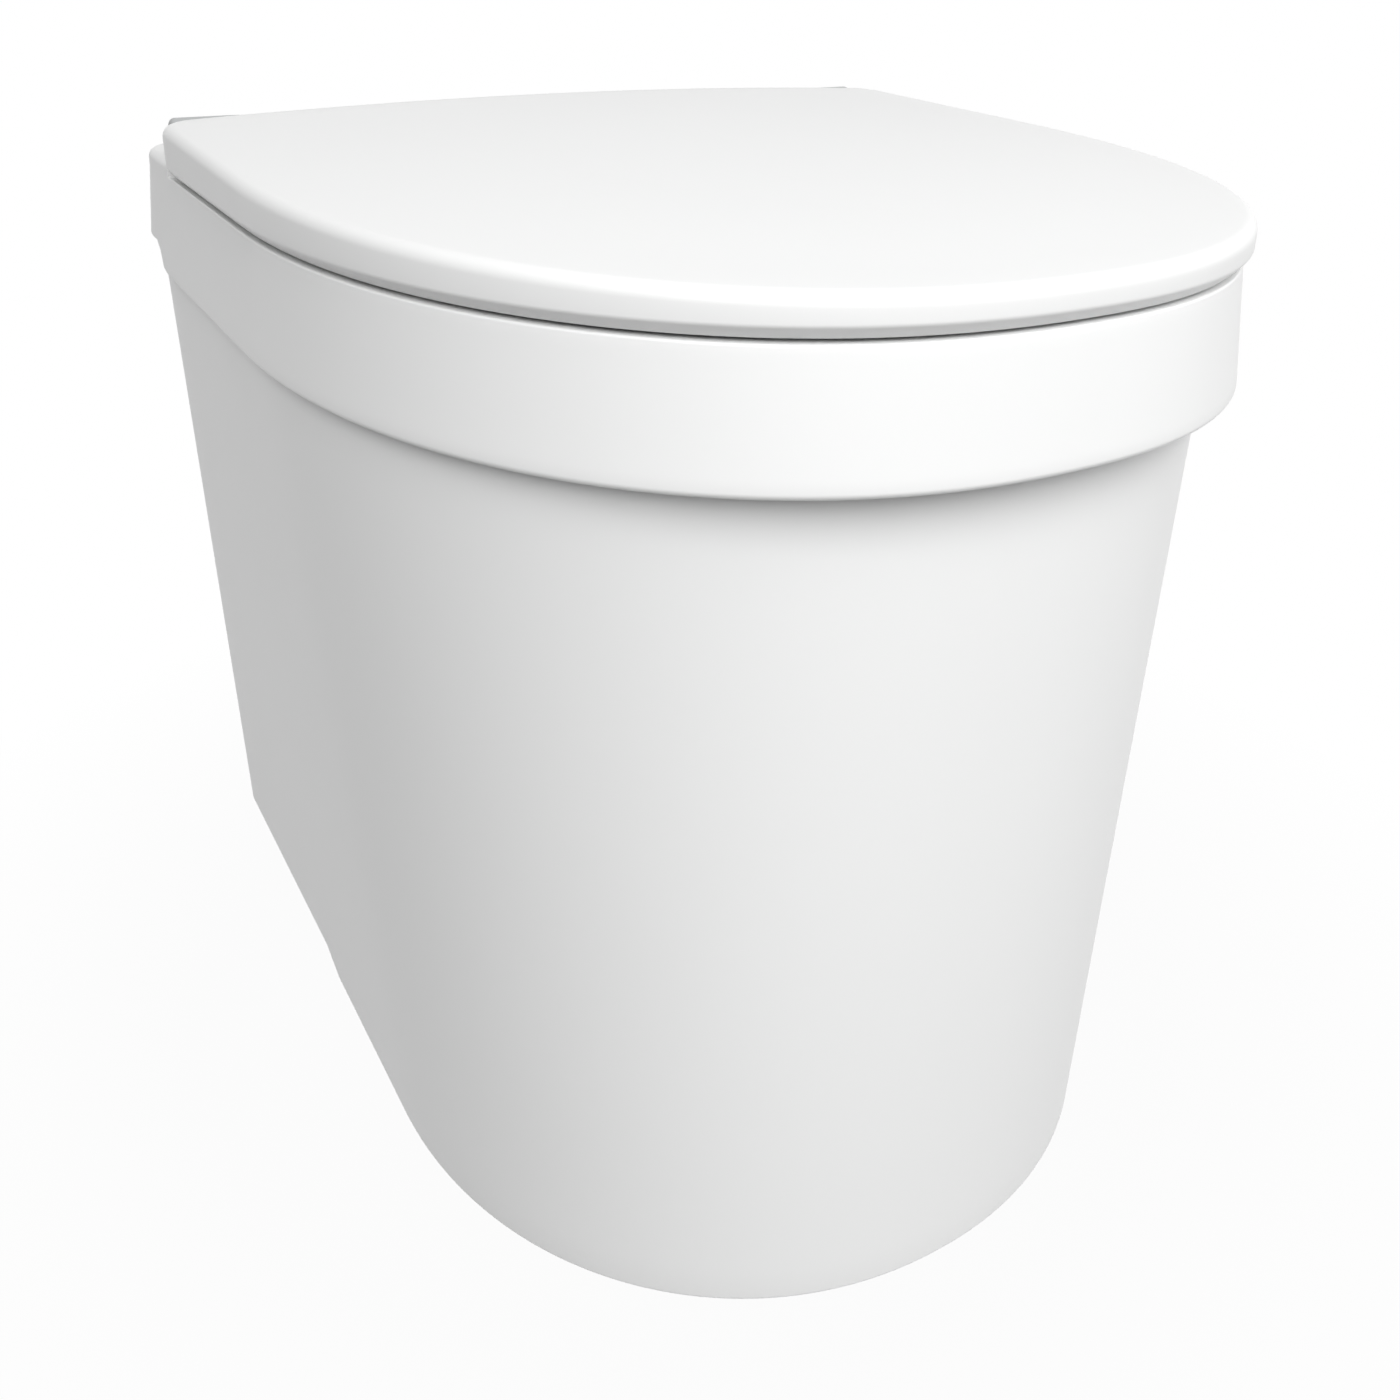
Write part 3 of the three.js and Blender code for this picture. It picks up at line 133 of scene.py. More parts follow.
print("camera: lens", round(lens.lens, 2), "mm, shift", round(lens.shift_y, 3))

# %% [markdown]
# Shader maths reads best as plain sums. One small class holds an output of a node and adds a Math
# node for each sign, so that 1 - mask or 0.3 + grain * 0.1 can be written as they are. Every other
# node comes from one method.


# %% Shader sums and nodes
class Level:
    """One output of a node. A sum, difference or product with it adds a Math node."""

    def __init__(self, finish, socket):
        self.finish, self.socket = finish, socket

    def _sum(self, operation, first, second):
        return self.finish.node("ShaderNodeMath", {"operation": operation}, [first, second])

    def __add__(self, other):
        return self._sum("ADD", self, other)

    def __radd__(self, other):
        return self._sum("ADD", other, self)

    def __sub__(self, other):
        return self._sum("SUBTRACT", self, other)

    def __rsub__(self, other):
        return self._sum("SUBTRACT", other, self)

    def __mul__(self, other):
        return self._sum("MULTIPLY", self, other)

    def __rmul__(self, other):
        return self._sum("MULTIPLY", other, self)


class Finish:
    """A material with its nodes; surface(...) sets the sockets of its one Principled BSDF."""

    def __init__(self, name):
        self.material = bpy.data.materials.new(name)
        self.material.use_nodes = True
        self.tree = self.material.node_tree
        self.shader = self.tree.nodes["Principled BSDF"]

    def node(self, kind, settings=None, inputs=(), output=0):
        """Adds a node: its settings first, a ramp's stops among them, then its sockets' values or
        links."""
        made = self.tree.nodes.new(kind)
        for key, value in (settings or {}).items():
            if key == "stops":
                while len(made.color_ramp.elements) < len(value):
                    made.color_ramp.elements.new(0.5)
                for stop, (place, shade) in zip(made.color_ramp.elements, value):
                    stop.position, stop.color = place, (shade, shade, shade, 1.0)
            else:
                setattr(made, key, value)
        given = inputs.items() if isinstance(inputs, dict) else enumerate(inputs)
        for key, value in given:
            self.put(made.inputs[key], value)
        return Level(self, made.outputs[output])

    def put(self, socket, value):
        if isinstance(value, Level):
            self.tree.links.new(value.socket, socket)
        else:
            socket.default_value = value

    def noise(self, vector, scale, detail, **more):
        """A cloudy noise read at vector."""
        inputs = {"Vector": vector, "Scale": scale, "Detail": detail, **more}
        return self.node("ShaderNodeTexNoise", {}, inputs)

    def mix(self, share, first, second):
        """A colour between the first and the second, which is reached where share is 1."""
        inputs = {0: share, 6: first, 7: second}
        return self.node("ShaderNodeMix", {"data_type": "RGBA"}, inputs, output=2)

    def relief(self, height, strength, distance):
        """A bumpy normal from a height, with its depth in metres."""
        inputs = {"Strength": strength, "Distance": distance, "Height": height}
        return self.node("ShaderNodeBump", {}, inputs)

    def surface(self, **sockets):
        for key, value in sockets.items():
            self.put(self.shader.inputs[key.replace("_", " ")], value)
        return self.material


# %% [markdown]
# Moulded plastic looks plain from afar, yet it is never one flat colour. Close up it has a fine
# grain from the mould, long soft waves where the wall cooled, a faint change of shade from place to
# place, and a gloss that a wiping cloth has made a little uneven. Each of these is a noise of its
# own size, read from object coordinates.


# %% Moulded plastic
def shades(colour, darker):
    """The colour and the same colour times darker, both opaque."""
    return (*colour, 1.0), tuple(channel * darker for channel in colour) + (1.0,)


def moulded(name, colour, roughness, grain=2600.0, depth=0.05, waves=14.0, darker=0.985, coat=0.0):
    """Plastic: colour falls to darker in broad clouds and in fine specks, roughness varies a little
    where the cloth has wiped, and the height is depth of grain plus long waves."""
    finish = Finish(name)
    place = finish.node("ShaderNodeTexCoord", output="Object")
    fine = finish.noise(place, grain, 3.0)
    cloud = finish.noise(place, 5.0, 4.0)
    wave = finish.noise(place, waves, 1.0)
    wiped = finish.noise(place, 38.0, 5.0, Distortion=1.4)
    speck = finish.noise(place, 420.0, 2.0)
    dust = finish.node("ShaderNodeValToRGB", {"stops": [(0.7, 0.0), (0.78, 1.0)]}, [speck])
    base = finish.mix((cloud - 0.5) * 0.6 + 0.35 + dust * 0.15, *shades(colour, darker))
    rough = roughness + (wiped - 0.5) * 0.04 + (fine - 0.5) * 0.06 + dust * 0.08
    relief = finish.relief(fine * depth + wave * 0.8 + wiped * 0.03, 0.5, 0.0004)
    gloss = {"IOR": 1.48, "Coat_Weight": coat, "Coat_Roughness": 0.12}
    return finish.surface(Base_Color=base, Roughness=rough, Normal=relief, **gloss)


finish_of = {
    "white_shell": moulded("white moulded shell", (0.905, 0.908, 0.905), 0.30),
    "bowl_white": moulded("white glossy bowl", (0.9, 0.905, 0.9), 0.16, depth=0.02, coat=0.4),
    "tray_white": moulded("off-white tray", (0.80, 0.81, 0.80), 0.5, grain=1800.0, depth=0.12),
    "tank_plastic": moulded(
        "blow-moulded tank", (0.80, 0.815, 0.81), 0.42, 700.0, depth=0.3, waves=26.0, darker=0.93
    ),
    # Grey on the hinge covers is painted shade: the colour stands for the shade above the back corner
    # of the lid.
    "grey_plastic": moulded(
        "grey satin plastic, painted shade on hinge covers", (0.47, 0.48, 0.485), 0.42, grain=2000.0, depth=0.16, darker=0.93
    ),
    "dark_plastic": moulded(
        "dark grained plastic", (0.1, 0.104, 0.108), 0.5, grain=1500.0, depth=0.3, darker=0.85
    ),
}
print("plastics:", len(bpy.data.materials), "materials")

# %% [markdown]
# Rubber, steel, the hose and the window each need their own recipe. Rubber is matt with a bloom of
# dust. The pins and screws are turned steel, so fine rings of scratches run round their axes. The
# hose is milky with soft bands. The window is a tinted clear plastic with fine scratches.


# %% Rubber, steel, hose and window
def rubber(name, colour):
    """Rubber: matt, with pale dust where a cloudy noise is high, and a fine pitted height."""
    finish = Finish(name)
    place = finish.node("ShaderNodeTexCoord", output="Object")
    pits = finish.noise(place, 1900.0, 2.0)
    cloud = finish.noise(place, 60.0, 6.0)
    dust = finish.node("ShaderNodeValToRGB", {"stops": [(0.45, 0.0), (0.75, 1.0)]}, [cloud])
    dusty = tuple(0.75 * channel + 0.12 for channel in colour) + (1.0,)
    base = finish.mix(dust * 0.5, (*colour, 1.0), dusty)
    relief = finish.relief(pits, 0.6, 0.0002)
    return finish.surface(Base_Color=base, Roughness=0.72 + pits * 0.15, Normal=relief)


def turned_steel(name):
    """Steel: roughness and height from a noise squeezed along the axis, which draws fine rings
    round it."""
    finish = Finish(name)
    place = finish.node("ShaderNodeTexCoord", output="Object")
    along = {"Vector": place, "Scale": (9000.0, 300.0, 300.0)}
    squeezed = finish.node("ShaderNodeMapping", {}, along)
    rings = finish.noise(squeezed, 1.0, 3.0)
    cloud = finish.noise(place, 90.0, 3.0)
    base = finish.mix(cloud, (0.66, 0.67, 0.68, 1.0), (0.54, 0.55, 0.57, 1.0))
    relief = finish.relief(rings, 0.3, 0.0001)
    rough = 0.22 + rings * 0.2
    return finish.surface(Base_Color=base, Metallic=1.0, Roughness=rough, Normal=relief)


def milky_hose(name):
    """Hose: pale milky plastic with soft bands where it flexes."""
    finish = Finish(name)
    place = finish.node("ShaderNodeTexCoord", output="Object")
    flexed = {"Vector": place, "Scale": 220.0, "Distortion": 0.6}
    bands = finish.node("ShaderNodeTexWave", {"bands_direction": "Y"}, flexed, output=1)
    cloud = finish.noise(place, 70.0, 3.0)
    share = bands * 0.4 + cloud * 0.3
    base = finish.mix(share, (0.74, 0.77, 0.78, 1.0), (0.6, 0.64, 0.65, 1.0))
    relief = finish.relief(bands, 0.4, 0.0003)
    rough = 0.3 + cloud * 0.12
    return finish.surface(Base_Color=base, Roughness=rough, Normal=relief, Subsurface_Weight=0.2)


def tinted_window(name):
    """Window: half clear, green-grey, with scratches that break up its gloss."""
    finish = Finish(name)
    place = finish.node("ShaderNodeTexCoord", output="Object")
    along = {"Vector": place, "Scale": (2600.0, 240.0, 240.0)}
    scratch = finish.noise(finish.node("ShaderNodeMapping", {}, along), 1.0, 2.0)
    base = finish.mix(scratch, (0.3, 0.48, 0.38, 1.0), (0.36, 0.54, 0.43, 1.0))
    rough = 0.04 + scratch * 0.08
    return finish.surface(Base_Color=base, Roughness=rough, Transmission_Weight=0.5, IOR=1.49)


finish_of["buffer_rubber"] = rubber("grey soft rubber", (0.52, 0.53, 0.53))
finish_of["seal_rubber"] = rubber("black rubber", (0.05, 0.05, 0.054))
finish_of["steel"] = turned_steel("turned steel")
finish_of["hose_plastic"] = milky_hose("milky hose")
finish_of["window_plastic"] = tinted_window("tinted window")
slot_of = {row["node"]: row["material_slot"] for row in frame["record"]["subparts"]}
bodies = frame["record"]["behaviour"]["bodies"]
body_of = {node: body for body, nodes in bodies.items() for node in nodes}
print("finishes:", sorted(finish_of))

# %% [markdown]
# A surface here is a grid of points worked out by a formula, and a piece is one or more such grids.
# The next helpers turn grids into faces, weld them where they meet, and make the mesh. Points
# closer than a thousandth of a millimetre become one, and a face that loses a corner by this
# becomes a triangle, which closes every pole.


# %% From grids to meshes
def grid(points, round_u=True, round_v=False):
    """Faces over a grid of rows and columns. round_u joins the last column to the first, round_v
    the last row to the first."""
    rows, columns = points.shape[:2]
    i = np.arange(rows if round_v else rows - 1)[:, None]
    j = np.arange(columns if round_u else columns - 1)[None, :]
    i2, j2 = (i + 1) % rows, (j + 1) % columns
    corners = [i * columns + j, i * columns + j2, i2 * columns + j2, i2 * columns + j]
    return points.reshape(-1, 3), np.stack(corners, -1).reshape(-1, 4)


def at_height(loop, z):
    """A loop of x, y as points at one height."""
    return np.column_stack([loop, np.full(len(loop), float(z))])


def flat(loops, z, facing=1):
    """A level plate: the first loop is its outline, the others are holes. Blender's own filler
    makes the triangles, and each is turned to face up (1) or down (-1) by the sign of its area."""
    points = np.vstack(loops)
    filled = np.array(tessellate_polygon([[Vector((x, y, 0)) for x, y in loop] for loop in loops]))
    a, b, c = (points[filled[:, k]] for k in range(3))
    area = (b[:, 0] - a[:, 0]) * (c[:, 1] - a[:, 1]) - (b[:, 1] - a[:, 1]) * (c[:, 0] - a[:, 0])
    turned = area * facing < 0
    filled[turned] = filled[turned][:, ::-1]
    return at_height(points, z), filled[:, [0, 1, 2, 2]]


def welded(patches):
    """All patches as one list of points and one of faces, with equal points merged and collapsed
    corners dropped."""
    offsets = np.cumsum([0] + [len(points) for points, _ in patches[:-1]])
    faces = np.vstack([face + offset for (_, face), offset in zip(patches, offsets)])
    points = np.vstack([points for points, _ in patches])
    _, first, place = np.unique(np.round(points, 3), axis=0, return_index=True, return_inverse=True)
    faces = place.reshape(-1)[faces]
    same = faces == np.roll(faces, -1, axis=1)
    whole = faces[~same.any(1)]
    narrow = faces[same.sum(1) == 1]
    lost = same[same.sum(1) == 1].argmax(1)[:, None]
    narrow = np.take_along_axis(narrow, (lost + np.arange(1, 4)) % 4, axis=1)
    a, b, c = narrow.T
    narrow = narrow[(a != b) & (b != c) & (a != c)]
    whole = whole[(whole[:, 0] != whole[:, 2]) & (whole[:, 1] != whole[:, 3])]
    return points[first], whole.tolist() + narrow.tolist()


def piece(name, patches, *nodes, crease=32.0, bevel=0.0, segments=2, merge_flat=False):
    """Makes the object from its patches and gives it the finish, slot and body of the CAD nodes
    that it stands for."""
    points, faces = welded(patches)
    mesh = bpy.data.meshes.new(name)
    mesh.from_pydata((points + (0.0, SHIFT, 0.0)) * MM, [], faces)
    if merge_flat:
        shape = bmesh.new()
        shape.from_mesh(mesh)
        level = math.radians(0.6)
        bmesh.ops.dissolve_limit(shape, angle_limit=level, verts=shape.verts, edges=shape.edges)
        shape.to_mesh(mesh)
        shape.free()
    mesh.shade_smooth()
    if not bevel:
        mesh.set_sharp_from_angle(angle=math.radians(crease))
    made = bpy.data.objects.new(name, mesh)
    bpy.context.scene.collection.objects.link(made)
    if bevel:
        edge = made.modifiers.new("soft edges", "BEVEL")
        edge.width, edge.segments, edge.limit_method = bevel * MM, segments, "ANGLE"
        edge.angle_limit = math.radians(crease)
        even = made.modifiers.new("even shading", "WEIGHTED_NORMAL")
        even.weight = 80
    mesh.materials.append(finish_of[slot_of[nodes[0]]])
    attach(made, body_of[nodes[0]])
    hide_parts(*nodes)
    return made


# %% [markdown]
# Seen from above, the lid, the collar, the seat and the body all have one outline: a D with a flat
# back. Its front is a superellipse, which is fuller than a half circle. One function gives this
# outline for any inset and height, so that a row of insets and heights becomes a whole shell. Where
# the form of a part changes along its side or its back, a column of points is put at that place;
# the breaks say where.

# %% The D outline
FRONT_TURNS = np.radians(np.linspace(90.0, 0.0, 65))
EPS = 1e-4
SIDE_SHARES = np.array([0.1, 0.25, 0.45, 0.65, 0.85, 1 - EPS, 1 + EPS, 1.15, 1.35, 1.55, 1.75, 2.0])
CORNER_TURNS = np.radians(np.linspace(0.0, 90.0, 11)[1:])
BACK_SHARES = np.array([1.75, 1.5, 1.25, 1 + EPS, 1 - EPS, 0.75, 0.5, 0.25, 0.0])
SIDE_BREAK = len(FRONT_TURNS) + 5
BACK_START = len(FRONT_TURNS) + len(SIDE_SHARES) + len(CORNER_TURNS)
HALF_COLUMNS = BACK_START + len(BACK_SHARES)
is_back_middle = np.arange(HALF_COLUMNS) >= BACK_START + 4
LID_BREAKS = {"side_at": -40.0, "back_at": 155.25}
SEAT_BREAKS = {"side_at": -110.0}
BODY_BREAKS = {"side_at": -58.0, "back_at": 142.0}


def d_half(plan, inset=0.0, side_at=0.0, back_at=100.0):
    """The right half of the D, anticlockwise from its front point, with H, F, B and C its half
    width, front, back and corner radius less the inset, S where the straight sides start and p its
    power:
      front   x = H cos(t)^(2/p), y = -S - (F - S) sin(t)^(2/p), t from 90 down to 0 degrees
      side    x = H, y from -S by way of side_at to B - C
      corner  x = H - C (1 - cos a), y = B - C (1 - sin a), a from 0 to 90 degrees
      back    y = B, x from H - C by way of back_at to 0
    The inset may be a number, or a grid of rows and half columns. Returns x and y as rows of half
    columns."""
    inset = np.atleast_2d(np.asarray(inset, float))
    inset = np.broadcast_to(inset, (inset.shape[0], HALF_COLUMNS))
    cuts = np.cumsum([len(FRONT_TURNS), len(SIDE_SHARES), len(CORNER_TURNS)])
    parts = np.split(inset, cuts, axis=1)
    half, front, back = ([plan[key] - part for part in parts] for key in ("half", "front", "back"))
    corner = [np.maximum(plan["corner"] - part, plan["corner"] / 8) for part in parts]
    start, power = plan["straight"], plan["power"]
    x = [half[0] * np.maximum(np.cos(FRONT_TURNS), 0.0) ** (2 / power)]
    y = [-start - (front[0] - start) * np.sin(FRONT_TURNS) ** (2 / power)]
    low, high = np.minimum(SIDE_SHARES, 1.0), np.maximum(SIDE_SHARES - 1.0, 0.0)
    x.append(half[1] + 0 * SIDE_SHARES)
    y.append(-start + (side_at + start) * low + (back[1] - corner[1] - side_at) * high)
    x.append(half[2] - corner[2] * (1 - np.cos(CORNER_TURNS)))
    y.append(back[2] - corner[2] * (1 - np.sin(CORNER_TURNS)))
    low, high = np.minimum(BACK_SHARES, 1.0), np.maximum(BACK_SHARES - 1.0, 0.0)
    x.append(back_at * low + (half[3] - corner[3] - back_at) * high)
    y.append(back[3] + 0 * BACK_SHARES)
    x = np.hstack(x)
    x[:, 0] = 0.0
    return x, np.hstack(y)


def whole(x, y, z):
    """A half grid and its mirror image as one grid of x, y, z that runs once round."""
    right = np.stack(np.broadcast_arrays(x, y, z), -1)
    left = right[:, 1:-1][:, ::-1] * (-1.0, 1.0, 1.0)
    return np.concatenate([right, left], axis=1)


def d_loop(plan, inset=0.0, **breaks):
    """The whole outline as one loop of x, y."""
    x, y = d_half(plan, inset, **breaks)
    return whole(x, y, 0.0)[0, :, :2]


def stacked(*rows):
    """Pairs of inset and height, each spread over the half columns, as two grids."""
    ones = np.ones((1, HALF_COLUMNS))
    return (np.vstack([row[k] * ones for row in rows]) for k in (0, 1))


def circle(x, y, radius, sides=48):
    """A loop of points round a centre, anticlockwise."""
    turn = np.linspace(0.0, 2 * np.pi, sides, endpoint=False)
    return np.column_stack([x + radius * np.cos(turn), y + radius * np.sin(turn)])


def oval(centre_y, a, b, power=2.2, sides=144):
    """A superellipse |x/a|^p + |y/b|^p = 1 round (0, centre_y), by its radius at each turn."""
    turn = np.linspace(0.0, 2 * np.pi, sides, endpoint=False)
    reach = (np.abs(np.cos(turn) / a) ** power + np.abs(np.sin(turn) / b) ** power) ** (-1 / power)
    return np.column_stack([reach * np.cos(turn), centre_y + reach * np.sin(turn)])


def upright(loop, heights):
    """A wall over a loop of x, y at a list of heights; falling heights make it face inwards."""
    return grid(np.array([at_height(loop, z) for z in heights]))


def eased(points, radius, steps=5, closed=False):
    """A line through points with each corner eased by a parabola that starts radius before it."""
    points = np.asarray(points, float)
    count = len(points)
    out = [] if closed else [points[:1]]
    share = np.linspace(0.0, 1.0, steps + 1)[:, None]
    for k in range(count) if closed else range(1, count - 1):
        before, here, after = points[k - 1], points[k], points[(k + 1) % count]
        reach = [min(radius / max(np.linalg.norm(p - here), 1e-9), 0.48) for p in (before, after)]
        a, c = here + (before - here) * reach[0], here + (after - here) * reach[1]
        out.append(a * (1 - share) ** 2 + here * 2 * share * (1 - share) + c * share**2)
    return np.vstack(out if closed else out + [points[-1:]])


print("outline:", 2 * HALF_COLUMNS - 2, "columns")

# %% [markdown]
# The lid is a thin shell like an upturned tray. On the real one its edge is soft all round, its
# side is taller at the back than at the front, and its top is a very low dome. The rows below run
# from the lower rim up the outside, over the top to the middle, and back down the inside. Between
# the two hinge covers the back wall is cut away below its upper lip, so there the rows simply start
# higher.


# %% Lid
LID_HALF, LID_MIDDLE = 198.0, 190.0
LID_EDGE, LID_WALL = 5.0, 3.0
SIDE_HEIGHT, SIDE_FALL, SIDE_ARCH, CROWN = 18.5, 9.0, 5.2, 4.0


def lid_side(x, y):
    """Height of the lid's upright side: it falls in a straight line from the back to the front, and
    an arch of A (1 - (x / H)^2) (1 - s)^2 crosses the back, where A is its height, H the lid's half
    width and s the share of the way to the front."""
    share = np.clip(-y / (2 * LID_MIDDLE), 0.0, 1.0)
    arch = SIDE_ARCH * np.maximum(0.0, 1.0 - (x / LID_HALF) ** 2) * (1.0 - share) ** 2
    return LID_BOTTOM + SIDE_HEIGHT - SIDE_FALL * share + arch


def domed(inset, rise, shares):
    """Rings drawn in to the middle by each share s, at lid_side + rise + crown d (1 - s^6). With H
    and M the lid's half width and middle, u = 1 - (x / H)^2 - ((y + M) / M)^2 and
    d = (u + sqrt(u^2 + 0.02)) / 2, a round dome that runs out flat in the rear corners."""
    x, y = d_half(lid_plan, inset, **LID_BREAKS)
    x, y = x * shares, -LID_MIDDLE + (y + LID_MIDDLE) * shares
    u = 1.0 - (x / LID_HALF) ** 2 - ((y + LID_MIDDLE) / LID_MIDDLE) ** 2
    dome = 0.5 * (u + np.sqrt(u**2 + 0.02))
    return whole(x, y, lid_side(x, y) + rise + CROWN * dome * (1 - shares**6))


def lid_rows(profile, least_inset, notch_inset):
    """Rows of the lid's side from (inset, height, follows) triples: height is above the rim, or
    above the top of the side where follows is 1. In the notch the inset is fixed and no row is lower
    than the lip."""
    inset, height, follows = (column[:, None] for column in np.asarray(profile, float).T)
    x, y = d_half(lid_plan, least_inset, **LID_BREAKS)
    z = np.where(follows > 0.5, lid_side(x, y) + height, LID_BOTTOM + height)
    z = np.where(is_back_middle, np.maximum(z, LIP_BOTTOM), z)
    in_notch = is_back_middle & (z <= LIP_BOTTOM + 1e-6)
    x, y = d_half(lid_plan, np.where(in_notch, notch_inset, inset + 0 * z), **LID_BREAKS)
    return whole(x, y, z)


def knuckle(low, high):
    """A barrel round the hinge line with eased ends."""
    ease = 0.8
    inner = KNUCKLE - ease
    sides = [(KNUCKLE, low + ease), (KNUCKLE, high - ease)]
    profile = [(0, low), (inner, low), *sides, (inner, high), (0, high)]
    return lathe(profile, (AXIS_Y, AXIS_Z), "x", 40)


def lathe(profile, centre, axis="z", sides=64):
    """A profile of radius r and height h turned about an axis: u = r cos(t), v = r sin(t)
    and w = h."""
    turn = np.linspace(0.0, 2 * np.pi, sides, endpoint=False)
    radius, height = np.asarray(profile, float).T
    u = centre[0] + radius[:, None] * np.cos(turn)
    v = centre[1] + radius[:, None] * np.sin(turn)
    w = height[:, None] + 0 * turn
    order = {"x": (w, u, v), "y": (v, w, u), "z": (u, v, w)}[axis]
    return grid(np.stack(order, -1))


def prism(profile, low, high, ease=0.8, axis="x", steps=4):
    """A closed profile carried along an axis. At each end it shrinks along its own normals by
    ease (1 - cos t) while it moves ease sin t, which rounds the edge, and the filler closes it."""
    profile = np.asarray(profile, float)
    along = np.roll(profile, -1, axis=0) - np.roll(profile, 1, axis=0)
    outward = np.column_stack([along[:, 1], -along[:, 0]])
    outward /= np.maximum(np.linalg.norm(outward, axis=1, keepdims=True), 1e-9)
    turn = np.linspace(0.0, np.pi / 2, steps + 1)
    shrink = np.concatenate([ease * (1 - np.sin(turn)), ease * (1 - np.cos(turn))])
    station = np.concatenate([low + ease * (1 - np.cos(turn)), high - ease + ease * np.sin(turn)])
    ring = profile[None] - outward[None] * shrink[:, None, None]
    w = station[:, None] + 0 * ring[:, :, 0]
    order = {"x": (2, 0, 1), "y": (1, 2, 0), "z": (0, 1, 2)}[axis]

    def placed(uv, height):
        return np.dstack([uv[..., 0], uv[..., 1], height])[..., list(order)]

    side = grid(placed(ring, w))
    caps = []
    for row, facing in ((0, -1), (-1, 1)):
        points, faces = flat([ring[row]], station[row], facing)
        caps.append((points[:, list(order)], faces))
    return [side, *caps]


turn = np.linspace(0.0, np.pi / 2, 9)
rim = eased([(7.0, 0.0), (4.0, 0.0), (0.0, 4.5), (0.0, 8.0)], 0.9, 4)
outer_profile = [(i, h, 0) for i, h in rim]
outer_profile += [(LID_EDGE * (1 - math.cos(t)), LID_EDGE * math.sin(t), 1) for t in turn]
inner_profile = [(LID_WALL, 2.0, 1), (LID_WALL, 0.5, 1), (LID_WALL, 6.0, 0)]
inner_profile += [(7.0, 4.5, 0), (7.0, 0.0, 0)]
lid_shares = (np.linspace(1.0, 0.0, 19) ** 0.8)[:, None]
lid_surface = np.concatenate(
    [
        lid_rows(outer_profile, 0.0, 0.0),
        domed(LID_EDGE, LID_EDGE, lid_shares[1:]),
        domed(LID_WALL, 2.0, lid_shares[::-1][:-1]),
        lid_rows(inner_profile, LID_WALL, LID_WALL),
    ]
)
knuckle_parts = []
web = [(-3.0, LIP_BOTTOM), (AXIS_Y, LIP_BOTTOM), (AXIS_Y, 432.25), (-3.0, 432.25)]
for side in (-1, 1):
    low, high = sorted((side * 138.0, side * 154.5))
    knuckle_parts += prism(web, low, high, 0.5) + [knuckle(low, high)]
lid_piece = piece("lid_shell", [grid(lid_surface, round_v=True), *knuckle_parts], "lid")
print("lid:", len(lid_piece.data.polygons), "faces")

# %% [markdown]
# The collar is one deep moulding: a skirt that flares a little towards its hem, a ledge with a sunk
# place for the seat, a strip for the valve knob, and a raised deck at the rear. The skirt is a grid
# over the D. The level faces are cut from flat sheet with holes, because nothing on them changes
# with height.


# %% Collar
HOLLOW_HALF, STRIP_FRONT, RISER_BACK = 183.2, -66.0, 5.5
STRIP_UNDER, DECK_UNDER = 406.25, 413.0


def blend_plans(low_plan, high_plan, share, inset, **breaks):
    """Points between two outlines at a share from 0 to 1 of the way up."""
    x0, y0 = d_half(low_plan, inset, **breaks)
    x1, y1 = d_half(high_plan, inset, **breaks)
    return x0 + (x1 - x0) * share, y0 + (y1 - y0) * share


def skirt_surface():
    """Rows from inside the skirt, round its hem, up the outside and over the top edge. Behind
    DECK_FRONT the top rises to the deck and its edge is rounder; behind y = 14 the hem rises by
    12 mm."""
    _, base_y = d_half(skirt_plan, 0.0, side_at=DECK_FRONT)
    behind = np.arange(HALF_COLUMNS) > SIDE_BREAK
    hem = SKIRT_BOTTOM + 12.0 * np.clip((base_y - 14.0) / 14.0, 0.0, 1.0)
    top = np.where(behind, DECK, COLLAR_TOP)
    edge = np.where(behind, 4.0, 0.8)
    t = np.linspace(0.0, np.pi / 2, 7)[:, None]
    v = np.linspace(0.0, 1.0, 12)[:, None]
    inset, z = stacked(
        (2.6, UNDERSIDE),
        (2.6, hem),
        (LOWER_EDGE * (1 - np.sin(t)), hem + LOWER_EDGE * (1 - np.cos(t))),
        (0.0 * v, hem + LOWER_EDGE + (top - edge - hem - LOWER_EDGE) * v),
        (edge * (1 - np.cos(t)), top - edge + edge * np.sin(t)),
    )
    straight_part = COLLAR_TOP - SKIRT_BOTTOM - LOWER_EDGE
    share = np.clip((z - SKIRT_BOTTOM - LOWER_EDGE) / straight_part, 0.0, 1.0)
    x, y = blend_plans(skirt_plan, collar_plan, share, inset, side_at=DECK_FRONT)
    return whole(x, y, z)


skirt = skirt_surface()
columns_before = np.r_[0 : SIDE_BREAK + 1]
columns_before = np.r_[columns_before, skirt.shape[1] - columns_before[:0:-1]]
columns_behind = np.r_[SIDE_BREAK + 1 : skirt.shape[1] - SIDE_BREAK]
ledge_loop = skirt[-1, columns_before, :2]
deck_loop = skirt[-1, columns_behind, :2]
bowl_hole = oval(BOWL_Y, 126.9, 134.9)
t = np.linspace(0.0, np.pi / 2, 6)
recess_profile = [(-0.8 * (1 - math.sin(a)), COLLAR_TOP - 0.8 * (1 - math.cos(a))) for a in t]
recess_profile += [(2.0 * (1 - math.cos(a)), RECESS_FLOOR + 2.0 - 2.0 * math.sin(a)) for a in t]
recess_inset, recess_z = np.array(recess_profile).T[:, :, None]
recess_x, recess_y = d_half(recess_plan, recess_inset, **SEAT_BREAKS)
recess = whole(recess_x, recess_y, recess_z)
under_plan = dict(collar_plan, half=HOLLOW_HALF, front=365.2, back=64.0, corner=22.0)
under = d_loop(under_plan, side_at=RISER_BACK)
under_strip = np.array(
    [
        (HOLLOW_HALF, STRIP_FRONT),
        (HOLLOW_HALF, RISER_BACK),
        (-HOLLOW_HALF, RISER_BACK),
        (-HOLLOW_HALF, STRIP_FRONT),
    ]
)
